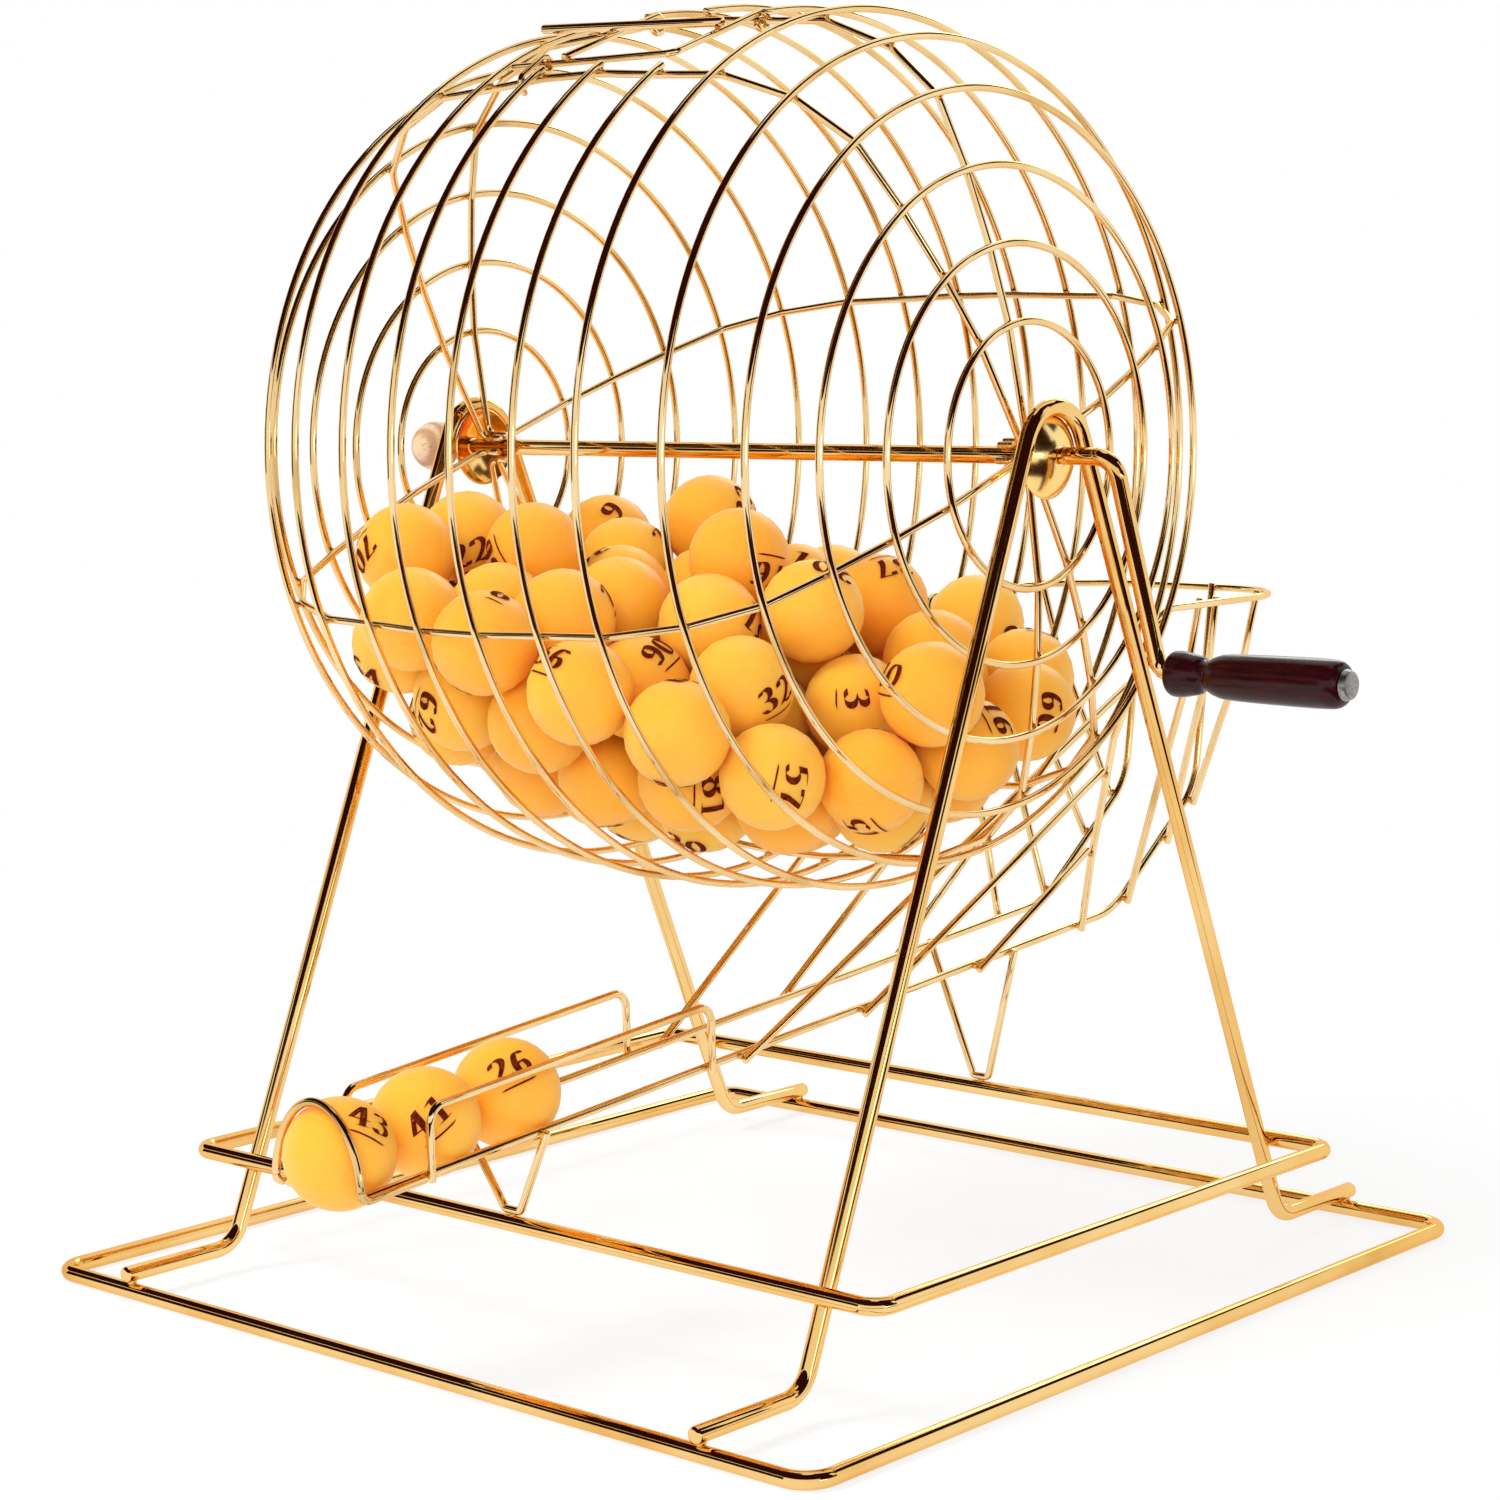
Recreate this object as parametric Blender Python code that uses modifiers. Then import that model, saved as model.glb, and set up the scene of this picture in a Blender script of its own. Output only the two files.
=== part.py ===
# Hand cranked wire bingo cage with its ball track, for a table top.
# Frame: X runs along the cage's axle towards the crank, Y runs from the open
# front end of the ball track to the funnel behind the cage, Z is up.
# The object rests on z = 0 and the middle of its outline is at x = y = 0.
import math

import bmesh
import bpy
import numpy
from mathutils import Vector

# Wires and clearances.
ROD_D = 0.006            # rods of the two base loops, the legs and the axle
TRACK_D = 0.003          # wires of the ball track and its funnel
CAGE_D = 0.0027          # rings and lengthwise wires of the cage
DOOR_D = 0.0026          # wires of the door's frame
BAR_D = 0.0035           # middle bar of the door
LATCH_D = 0.0022         # hook that holds the door
GAP = 0.0003             # clearance between pieces that touch
ROD_SIDES = 8            # flats on a rod
OVERHANG = 0.002         # wire left past a brazed crossing
MERGE = 0.00001          # points closer than this are one

# Legs: one bent rod on each side, an inverted V with a round top.
LEG_X = 0.1416
LEG_FOOT_Y = 0.1372
LEG_TOE = 0.0035         # foot past the base rod that it lies on
LEG_BEND = 0.012
ARCH_R = 0.0165

# Base loop, which stands on the table.
BASE_HALF_X = LEG_X + 0.0446
BASE_HALF_Y = LEG_FOOT_Y + 0.0478
BASE_CORNER = 0.010

# Upper loop, fastened outside the legs.
UPPER_HALF_X = LEG_X + 0.0267
UPPER_Z = 0.0413
UPPER_CORNER = 0.007

# Radius of the cage's widest rings. The axle, the legs and the funnel follow it.
CAGE_R = 0.1582
CAGE_LIFT = 0.1448       # lowest point of the cage above the table

# Axle and its bearing cups, which close the round tops of the legs.
AXLE_Z = CAGE_R + CAGE_LIFT
CUP_R = 0.0147           # rim radius
CUP_SPHERE = 0.020       # radius of the dished sheet
CUP_WALL = 0.0008
AXLE_PLAY = 0.0004

# Crank: the axle's end is bent down and then outwards as the pin of the grip.
CRANK_X = LEG_X + 0.0246
CRANK_BEND = 0.008
CRANK_DROP = 0.074
CRANK_LEAN_X = 0.0036    # the arm's lower end stands this much further out
CRANK_LEAN_Y = 0.0206
PIN_BEND = 0.005

# Turned grip on the crank pin.
GRIP_LENGTH = 0.0676
GRIP_START_X = CRANK_X + CRANK_LEAN_X + 0.0058
GRIP_END_X = GRIP_START_X + GRIP_LENGTH
PIN_END_X = GRIP_END_X + 0.0013
GRIP_BULB_R = 0.0079
GRIP_NECK_R = 0.0052
GRIP_R = 0.00835
RIVET_R = 0.0054
RIVET_T = 0.0016

# Wooden ball on the far end of the axle.
KNOB_R = 0.0097
KNOB_X = -LEG_X - 0.0245
AXLE_END_X = KNOB_X - 0.0034

# Cage: a shallow barrel of rings with flat cone ends, symmetric in itself but
# set a little towards the ball knob.
CAGE_SHIFT = -0.0026
CAGE_CLEAR = 0.00065     # between the end rings and the nearer leg
CAGE_HALF = LEG_X - ROD_D / 2 - CAGE_D / 2 - abs(CAGE_SHIFT) - CAGE_CLEAR
SPOKE_X = CAGE_HALF - 0.0015  # where the lengthwise wires turn along the axle
SPOKE_BEND = 0.004
SPOKE_TAIL = 0.010
# Rings of one half, from the end to the middle: distance from the cage's
# middle in cage halves and radius in cage radii.
RING_SHARES = (
    (1.000, 0.287),
    (0.969, 0.454),
    (0.923, 0.621),
    (0.858, 0.786),
    (0.716, 0.903),
    (0.510, 0.973),
    (0.309, 0.985),
    (0.106, 1.000),
)
# Lengthwise wires, as degrees from +Y towards +Z. The door's opening lies
# between the second and the third.
WIRE_DEGREES = (21, 100, 121.8, 201, 280, 302)
# The same wires where they lie along the axle, side by side.
HUB_DEGREES = (21, 92, 131, 201, 272, 310)
HINGE_WIRE_NUMBER = 1
LOCK_WIRE_NUMBER = 2
CUT_RING_NUMBERS = (8, 9, 10)
ARC_STEP_DEGREES = 14    # longest step of a ring's polygon
BEND_STEPS = 3
BEND_SAG = 0.0003        # largest flat in a bend, as its depth
EYE_STEPS = 12
STOP_STEPS = 14

# Door.
DOOR_FRONT_DEGREES = 117.5
BAR_DEGREES = 108.5
BAR_LEFT = 0.032         # middle bar past the left side wire
BAR_RIGHT = 0.0028
LATCH_INSET = 0.012      # latch's place past the left side wire
LATCH_TAIL = 0.0035      # hook's end, which the heap of balls clears
DOOR_CORNER = 0.003

# Ball track: two rails that fall towards the front and turn up at the back.
BALL_R = 0.019
RAIL_HALF = 0.018
RAIL_FRONT_Y = -0.213
RAIL_FRONT_Z = 0.069
FRONT_RIB_Y = CAGE_R + 0.0178
RAIL_BEND_Y = FRONT_RIB_Y + 0.026
RAIL_BEND_Z = 0.105
RAIL_RISE_Y = FRONT_RIB_Y + 0.086
RAIL_RISE_Z = 0.150
RAIL_LOW_BEND = 0.040
RAIL_HIGH_BEND = 0.030
STOP_RISE = 0.0305       # top of the wire stop above the rails
STOP_Y = -0.2150
STOP_FOOT_Y = -0.187
GUARD_FRONT_Y = -0.1875
GUARD_BACK_Y = -0.047
GUARD_RISE = 0.0235
GUARD_BEND = 0.006
STRUT_SHIFT = 0.004
STRUT_HALF = 0.0038
STRUT_BEND = 0.002
BALL_SIDES = 14

# Funnel behind the cage.
RIM_Z = AXLE_Z - 0.069
RIM_HALF = 0.0605
RIM_FRONT_Y = CAGE_R + 0.0198
RIM_BACK_Y = CAGE_R + 0.1203
RIM_CORNER = 0.036
RAIL_END_Y = RIM_BACK_Y - TRACK_D - GAP
FRONT_RIB_BEND = 0.008
# Half width of the funnel in rail half gauges at heights given as shares of
# the way from the rails up to the rim, for the two front ribs.
FRONT_RIB_SHARES = ((0.22, 1.48), (0.44, 1.86), (0.60, 2.12))
# The other ribs of one side: places on the rail and on the rim behind the
# front ribs.
RIB_PLACES = (("mid", 0.032, 0.033), ("rear", 0.061, 0.0445), ("back", 0.0795, 0.077))
RIB_SHARES = ((0.40, 0.44), (0.72, 0.80))
# Side wires from the rails to the front rib: place on the rail in Y and the
# height on the rib as a share of the way up.
SIDE_WIRES = (("front", -0.030, 0.77), ("mid", 0.038, 0.50), ("back", 0.108, 0.25))

# Heap of balls in the cage.
HEAP_COUNT = 84
HEAP_SEED = 3
HEAP_TILT_SHARES = (-0.25, 0.0, -1.0)
HEAP_PITCH_SHARE = 1.96      # ball spacing in ball radii
HEAP_CLEAR = 0.0052          # from a ball to the wire that sweeps past it
HEAP_AXLE_CLEAR = 0.006
HEAP_ROUNDS = 700
HEAP_PASSES = 4
HEAP_DROP = 0.0012
HEAP_LATE_SHARE = 0.1         # of the drop, while the heap comes to rest
HEAP_BALL_SIDES = 7
SOLID_BALL_SHARE = 1.07      # faceted balls of about the true volume

DEGREE = math.pi / 180
ROD_R = ROD_D / 2
# The base loop's flats lie at the rod's true radius, so one of them rests on
# the table.
BASE_ROD_REACH = ROD_R / math.cos(math.pi / ROD_SIDES)
BASE_Z = ROD_R
FOOT_Z = BASE_Z + BASE_ROD_REACH + GAP + ROD_R
RAIL_SLOPE = (RAIL_BEND_Z - RAIL_FRONT_Z) / (RAIL_BEND_Y - RAIL_FRONT_Y)
OUTLINE_MIN_X = -BASE_HALF_X - BASE_ROD_REACH
OUTLINE_MAX_X = PIN_END_X + RIVET_T
SLOPE_ANGLE = math.atan(RAIL_SLOPE)
BALL_REACH = BALL_R + TRACK_D / 2 + GAP
BALL_LIFT = math.sqrt(BALL_REACH ** 2 - RAIL_HALF ** 2)
STOP_HALF = RAIL_HALF + TRACK_D + GAP
# The first ball lies against the stop: its distance from the plane of the
# stop's arch follows from the arch's point that is nearest to its middle.
STOP_NEAREST = min(
    math.hypot(STOP_HALF * math.cos(step * DEGREE), STOP_RISE * math.sin(step * DEGREE) - BALL_LIFT)
    for step in range(91)
)
STOP_DISTANCE = math.sqrt((BALL_REACH + BEND_SAG) ** 2 - STOP_NEAREST ** 2)
FIRST_BALL_Y = STOP_Y + STOP_DISTANCE + BALL_LIFT * math.sin(SLOPE_ANGLE)
OUTLINE_MIN_Y = FIRST_BALL_Y - BALL_LIFT * math.sin(SLOPE_ANGLE) - BALL_R
OUTLINE_MAX_Y = RIM_BACK_Y + TRACK_D / 2
MIDDLE = Vector((
    (OUTLINE_MIN_X + OUTLINE_MAX_X) / 2,
    (OUTLINE_MIN_Y + OUTLINE_MAX_Y) / 2,
    0,
))


def new_collection(name):
    collection = bpy.data.collections.new(name)
    bpy.context.scene.collection.children.link(collection)
    return collection


def new_material(name, colour, roughness, metallic):
    material = bpy.data.materials.new(name)
    material.use_nodes = True
    shader = material.node_tree.nodes["Principled BSDF"]
    shader.inputs["Base Color"].default_value = (*colour, 1)
    shader.inputs["Roughness"].default_value = roughness
    shader.inputs["Metallic"].default_value = metallic
    material.diffuse_color = (*colour, 1)
    return material


def pivot(name, place, parent=None):
    # An empty at a world place. The pieces of one moving body hang on it.
    empty = bpy.data.objects.new(name, None)
    parts.objects.link(empty)
    empty.parent = parent
    empty["place"] = place
    empty.location = place - Vector(parent["place"]) if parent else place
    return empty


def adopt(piece, material, owner):
    piece.data.materials.append(material)
    piece.parent = owner


def round_corners(points, radii):
    # Replaces each inner corner of an open path with an arc of its radius.
    path = [Vector(points[0])]
    for index in range(1, len(points) - 1):
        radius = radii[index - 1]
        corner = Vector(points[index])
        before = (Vector(points[index - 1]) - corner).normalized()
        after = (Vector(points[index + 1]) - corner).normalized()
        turn = math.pi - before.angle(after)
        if radius == 0 or turn < DEGREE:
            path.append(corner)
            continue
        steps = math.ceil(turn / 2 / math.acos(1 - BEND_SAG / radius))
        reach = radius * math.tan(turn / 2)
        start = corner + before * reach
        across = (after + before).normalized()
        centre = corner + across * (radius / math.cos(turn / 2))
        first = start - centre
        second = corner + after * reach - centre
        for step in range(steps + 1):
            share = step / steps
            weight_a = math.sin((1 - share) * turn) / math.sin(turn)
            weight_b = math.sin(share * turn) / math.sin(turn)
            path.append(centre + first * weight_a + second * weight_b)
    path.append(Vector(points[-1]))
    return path


def wire(name, points, diameter, material, owner, sides=6, closed=False, turn=0, reach=None):
    # A bent wire with closed ends, along points given in world places.
    curve = bpy.data.curves.new(name, "CURVE")
    curve.dimensions = "3D"
    curve.bevel_depth = reach or diameter / 2
    curve.bevel_resolution = sides // 2 - 2
    curve.use_fill_caps = not closed
    curve.twist_mode = "Z_UP" if turn else "MINIMUM"
    spline = curve.splines.new("POLY")
    spline.points.add(len(points) - 1)
    spline.use_cyclic_u = closed
    origin = Vector(owner["place"])
    for point, target in zip(spline.points, points):
        point.co = (*(Vector(target) - origin), 1)
        point.tilt = turn
    piece = bpy.data.objects.new(name, curve)
    parts.objects.link(piece)
    adopt(piece, material, owner)
    return piece


def turned(name, profile, material, owner, steps, place, closed):
    # A turned piece about a line along X. The profile holds pairs of radius
    # and distance along the line, down the outer side.
    mesh = bpy.data.meshes.new(name)
    edges = [(index, index + 1) for index in range(len(profile) - 1)]
    if closed:
        edges.append((len(profile) - 1, 0))
    mesh.from_pydata([(radius, 0, along) for radius, along in profile], edges, [])
    piece = bpy.data.objects.new(name, mesh)
    parts.objects.link(piece)
    piece.rotation_euler = (0, math.pi / 2, 0)
    piece.location = place - Vector(owner["place"])
    screw = piece.modifiers.new("turn", "SCREW")
    screw.steps = steps
    screw.render_steps = steps
    screw.use_merge_vertices = True
    screw.merge_threshold = MERGE
    adopt(piece, material, owner)
    return piece


def rectangle(half_x, half_y, height, radius):
    # Corner arcs of a closed loop, centred on the axle's middle.
    path = []
    for quarter in range(4):
        sign_x = 1 if quarter in (0, 3) else -1
        sign_y = 1 if quarter in (0, 1) else -1
        for step in range(BEND_STEPS + 1):
            angle = (quarter + step / BEND_STEPS) * math.pi / 2
            path.append((
                sign_x * (half_x - radius) + radius * math.cos(angle),
                sign_y * (half_y - radius) + radius * math.sin(angle),
                height,
            ))
    return path


def leg_path(side):
    # From the front toe up one leg, round the axle and down the other leg.
    x = side * LEG_X
    rise = AXLE_Z - FOOT_Z
    distance = math.hypot(LEG_FOOT_Y, rise)
    touch = math.atan2(rise, LEG_FOOT_Y) + math.asin(ARCH_R / distance)
    first = touch + math.pi / 2
    last = math.pi / 2 - touch
    arch = []
    steps = 2 * BEND_STEPS
    for step in range(steps + 1):
        angle = first + (last - first) * step / steps
        arch.append((x, ARCH_R * math.cos(angle), AXLE_Z + ARCH_R * math.sin(angle)))
    toe_y = BASE_HALF_Y + LEG_TOE
    front = round_corners([(x, -toe_y, FOOT_Z), (x, -LEG_FOOT_Y, FOOT_Z), arch[0]], [LEG_BEND])
    back = round_corners([arch[-1], (x, LEG_FOOT_Y, FOOT_Z), (x, toe_y, FOOT_Z)], [LEG_BEND])
    return front + [Vector(point) for point in arch[1:-1]] + back


def leg_reach(height):
    # Half width between the legs' centre lines, and their lean, at a height.
    rise = AXLE_Z - FOOT_Z
    distance = math.hypot(LEG_FOOT_Y, rise)
    slope = math.atan2(rise, LEG_FOOT_Y) + math.asin(ARCH_R / distance)
    return LEG_FOOT_Y - (height - FOOT_Z) / math.tan(slope), math.pi / 2 - slope


def rail_height(y):
    return RAIL_FRONT_Z + RAIL_SLOPE * (y - RAIL_FRONT_Y)


def rail_path(side):
    x = side * RAIL_HALF
    return round_corners(
        [
            (x, RAIL_FRONT_Y, RAIL_FRONT_Z),
            (x, RAIL_BEND_Y, RAIL_BEND_Z),
            (x, RAIL_RISE_Y, RAIL_RISE_Z),
            (x, RAIL_END_Y, RIM_Z + OVERHANG),
        ],
        [RAIL_LOW_BEND, RAIL_HIGH_BEND],
    )


def rail_place(y):
    # Height of a rail's centre line at a place behind its low bend too.
    path = rail_path(1)
    for start, end in zip(path, path[1:]):
        if start.y <= y <= end.y:
            return start.z + (end.z - start.z) * (y - start.y) / (end.y - start.y)
    return path[-1].z


def ring_table():
    # Distance from the axle's middle and radius of each ring's centre line.
    half = [(along * CAGE_HALF, radius * CAGE_R) for along, radius in RING_SHARES]
    left = [(CAGE_SHIFT - along, radius) for along, radius in half]
    right = [(CAGE_SHIFT + along, radius) for along, radius in reversed(half)]
    return left + right


def wire_table():
    # Where a lengthwise wire passes under each ring, as X and radius: in by
    # both half diameters and the gap, square to the cage's outline.
    rings = ring_table()
    depth = CAGE_D + GAP
    table = []
    for index, (x, radius) in enumerate(rings):
        x_before, r_before = rings[max(index - 1, 0)]
        x_after, r_after = rings[min(index + 1, len(rings) - 1)]
        along = Vector((x_after - x_before, r_after - r_before)).normalized()
        table.append((x + along.y * depth, radius - along.x * depth))
    return table


def on_cage(x, radius, degrees):
    angle = degrees * DEGREE
    return Vector((x, radius * math.cos(angle), AXLE_Z + radius * math.sin(angle)))


def wire_radius(x):
    # Radius of the lengthwise wires' centre line at a place along the axle.
    table = wire_table()
    for (x_a, r_a), (x_b, r_b) in zip(table, table[1:]):
        if x_a <= x <= x_b:
            return r_a + (r_b - r_a) * (x - x_a) / (x_b - x_a)
    return 0


def ring_path(number):
    # Corners lie on the lengthwise wires, so that no flat dips into a wire.
    x, radius = ring_table()[number - 1]
    stops = list(WIRE_DEGREES) + [WIRE_DEGREES[0] + 360]
    step_limit = ARC_STEP_DEGREES * min(2, math.sqrt(CAGE_R / radius))
    degrees = []
    for start, end in zip(stops, stops[1:]):
        count = max(1, math.ceil((end - start) / step_limit))
        degrees += [start + (end - start) * step / count for step in range(count)]
    if number in CUT_RING_NUMBERS:
        lock = WIRE_DEGREES[LOCK_WIRE_NUMBER]
        hinge = WIRE_DEGREES[HINGE_WIRE_NUMBER] + 360
        over = OVERHANG / radius / DEGREE
        degrees = [value if value >= lock else value + 360 for value in degrees]
        degrees = sorted(value for value in degrees if value <= hinge)
        degrees = [lock - over] + degrees + [hinge, hinge + over]
        degrees = [value for index, value in enumerate(degrees) if value not in degrees[:index]]
    return [on_cage(x, radius, value) for value in degrees]


def cage_wire_path(degrees, hub_degrees):
    axle_side = ROD_R + CAGE_D / 2 + GAP
    left = CAGE_SHIFT - SPOKE_X
    right = CAGE_SHIFT + SPOKE_X
    points = [on_cage(left + SPOKE_TAIL, axle_side, hub_degrees), on_cage(left, axle_side, hub_degrees)]
    points += [on_cage(x, radius, degrees) for x, radius in wire_table()]
    points += [on_cage(right, axle_side, hub_degrees), on_cage(right - SPOKE_TAIL, axle_side, hub_degrees)]
    radii = [0] * (len(points) - 2)
    radii[0] = SPOKE_BEND
    radii[-1] = SPOKE_BEND
    return round_corners(points, radii)


def eye_path(centre, radius, ahead, out):
    # Three quarters of a turn that ends on the outer side, heading ahead.
    count = EYE_STEPS * 3 // 4
    path = []
    for step in range(count + 1):
        angle = -3 * math.pi / 2 * step / count
        path.append(centre + ahead * (radius * math.cos(angle)) + out * (radius * math.sin(angle)))
    return path


def heap_centres():
    # Balls dropped into the cage and pushed apart until they lie at rest.
    profile = [(SPOKE_X, 0)] + [
        (abs(x - CAGE_SHIFT), radius) for x, radius in wire_table()[:len(RING_SHARES)]
    ]
    profile.append((0, profile[-1][1]))
    walls = []
    for (x_a, r_a), (x_b, r_b) in zip(profile, profile[1:]):
        normal = numpy.array((r_b - r_a, x_a - x_b))
        normal = normal / numpy.hypot(*normal)
        limit = normal @ numpy.array((x_a, r_a)) - BALL_R - CAGE_D / 2 - HEAP_CLEAR
        walls.append((normal, limit))
    random = numpy.random.RandomState(HEAP_SEED)
    spread = CAGE_R / 2
    low = (-spread, -spread, -CAGE_R * 0.75)
    high = (spread, spread, -CAGE_R / 8)
    centres = random.uniform(low, high, (HEAP_COUNT, 3))
    down = numpy.array(HEAP_TILT_SHARES)
    down = down / numpy.linalg.norm(down)
    pitch = HEAP_PITCH_SHARE * BALL_R
    hub = ROD_R + BALL_R + HEAP_AXLE_CLEAR
    away = numpy.eye(HEAP_COUNT)
    for turn in range(HEAP_ROUNDS):
        late = turn > HEAP_ROUNDS * 0.7
        centres = centres + down * HEAP_DROP * (HEAP_LATE_SHARE if late else 1)
        for _ in range(HEAP_PASSES):
            apart = centres[:, None] - centres[None]
            reach = numpy.sqrt((apart ** 2).sum(2)) + away
            push = numpy.where(reach < pitch, (pitch - reach) / 2, 0) * (1 - away)
            centres = centres + (apart / reach[..., None] * push[..., None]).sum(1) * 0.55
            for normal, limit in walls:
                side = numpy.sign(centres[:, 0] - CAGE_SHIFT)
                radius = numpy.maximum(numpy.hypot(centres[:, 1], centres[:, 2]), GAP)
                past = normal[0] * numpy.abs(centres[:, 0] - CAGE_SHIFT) + normal[1] * radius - limit
                past = numpy.maximum(past, 0)
                centres[:, 0] -= side * past * normal[0]
                centres[:, 1:] -= (past * normal[1] / radius)[:, None] * centres[:, 1:]
            radius = numpy.maximum(numpy.hypot(centres[:, 1], centres[:, 2]), GAP)
            lift = numpy.maximum(hub - radius, 0) / radius
            centres[:, 1:] += lift[:, None] * centres[:, 1:]
    return centres + numpy.array((0, 0, AXLE_Z))


def ball(name, centre, radius, sides, collection):
    mesh = bpy.data.meshes.new(name)
    shape = bmesh.new()
    bmesh.ops.create_uvsphere(shape, u_segments=sides, v_segments=sides * 2 // 3, radius=radius)
    shape.to_mesh(mesh)
    shape.free()
    piece = bpy.data.objects.new(name, mesh)
    piece.location = centre
    collection.objects.link(piece)
    return piece


def build_heap(name, material, owner):
    # The heap is one solid: neighbours melt together where they touch, and
    # the space between the inner balls is filled.
    origin = Vector(owner["place"])
    centres = [Vector(centre) - origin for centre in heap_centres()]
    order = sorted(range(len(centres)), key=lambda index: centres[index].length)
    heap = ball(name, centres[order[0]], BALL_R * SOLID_BALL_SHARE, HEAP_BALL_SIDES, parts)
    for index in order[1:]:
        tool = ball(
            f"heap_tool_{index}", centres[index], BALL_R * SOLID_BALL_SHARE, HEAP_BALL_SIDES, cutters,
        )
        tool.hide_render = True
        tool.display_type = "WIRE"
        tool.parent = owner
    core = bpy.data.meshes.new("heap_core")
    shape = bmesh.new()
    for centre in centres:
        shape.verts.new(centre)
    hull = bmesh.ops.convex_hull(shape, input=shape.verts)
    inside = [item for item in hull["geom_interior"] if isinstance(item, bmesh.types.BMVert)]
    bmesh.ops.delete(shape, geom=inside, context="VERTS")
    shape.to_mesh(core)
    shape.free()
    tool = bpy.data.objects.new("heap_core", core)
    cutters.objects.link(tool)
    tool.hide_render = True
    tool.display_type = "WIRE"
    tool.parent = owner
    heap.parent = owner
    join = heap.modifiers.new("join", "BOOLEAN")
    join.operation = "UNION"
    join.operand_type = "COLLECTION"
    join.collection = cutters
    bpy.context.view_layer.update()
    graph = bpy.context.evaluated_depsgraph_get()
    solid = bpy.data.meshes.new_from_object(heap.evaluated_get(graph))
    heap.modifiers.remove(join)
    shape = bmesh.new()
    shape.from_mesh(solid)
    bmesh.ops.remove_doubles(shape, verts=shape.verts, dist=GAP / 10)
    bmesh.ops.triangulate(shape, faces=shape.faces)
    drop_pockets(shape)
    shape.to_mesh(solid)
    shape.free()
    heap.data = solid
    adopt(heap, material, owner)
    return heap


def drop_pockets(shape):
    # Keeps the outer skin only, so that no space is sealed in between balls.
    left = set(shape.verts)
    groups = []
    while left:
        seed = left.pop()
        group = {seed}
        front = [seed]
        while front:
            vertex = front.pop()
            for edge in vertex.link_edges:
                other = edge.other_vert(vertex)
                if other in left:
                    left.discard(other)
                    group.add(other)
                    front.append(other)
        groups.append(group)
    groups.sort(key=len)
    print("heap skins", [len(group) for group in groups])
    spare = [vertex for group in groups[:-1] for vertex in group]
    bmesh.ops.delete(shape, geom=spare, context="VERTS")


for item in list(bpy.data.objects):
    bpy.data.objects.remove(item, do_unlink=True)

parts = new_collection("bingo_cage")
cutters = new_collection("cutters")

gold = new_material("brassed_steel", (0.83, 0.56, 0.22), 0.16, 1.0)
lacquer = new_material("dark_lacquered_wood", (0.06, 0.012, 0.012), 0.22, 0.0)
bare_wood = new_material("bare_wood", (0.60, 0.42, 0.30), 0.6, 0.0)
rivet_metal = new_material("rivet_steel", (0.50, 0.50, 0.50), 0.35, 1.0)
orange = new_material("orange_ball", (1.0, 0.43, 0.06), 0.35, 0.0)

stand = pivot("stand_pivot", Vector((0, 0, 0)))
stand.location = -MIDDLE

# Base loop with a flat down, upper loop and the two bent legs.
half_flat = math.pi / ROD_SIDES
wire(
    "base_frame", rectangle(BASE_HALF_X, BASE_HALF_Y, BASE_Z, BASE_CORNER), ROD_D, gold, stand,
    ROD_SIDES, True, half_flat, BASE_ROD_REACH,
)
leg_y, leg_lean = leg_reach(UPPER_Z)
upper_half_y = leg_y + (ROD_D + GAP) / math.cos(leg_lean)
wire(
    "upper_frame", rectangle(UPPER_HALF_X, upper_half_y, UPPER_Z, UPPER_CORNER), ROD_D, gold, stand,
    ROD_SIDES, True,
)
for label, side in (("left", -1), ("right", 1)):
    wire(f"a_frame_{label}", leg_path(side), ROD_D, gold, stand, ROD_SIDES)

# Bearing cups: thin dished sheets whose domes sit in the legs' round tops.
seat = CUP_SPHERE + CUP_WALL / 2 + GAP + ROD_R
cup_centre = LEG_X - math.sqrt(seat ** 2 - ARCH_R ** 2)
for label, side in (("left", -1), ("right", 1)):
    bore = ROD_R + AXLE_PLAY
    profile = []
    for radius, edges in ((CUP_SPHERE + CUP_WALL / 2, (bore, CUP_R)), (CUP_SPHERE - CUP_WALL / 2, (CUP_R, bore))):
        start, end = (math.asin(edge / CUP_SPHERE) for edge in edges)
        for step in range(BEND_STEPS + 1):
            angle = start + (end - start) * step / BEND_STEPS
            profile.append((radius * math.sin(angle), side * (cup_centre + radius * math.cos(angle))))
    if side < 0:
        profile.reverse()
    turned(f"bearing_cup_{label}", profile, gold, stand, 20, Vector((0, 0, AXLE_Z)), True)

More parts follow.
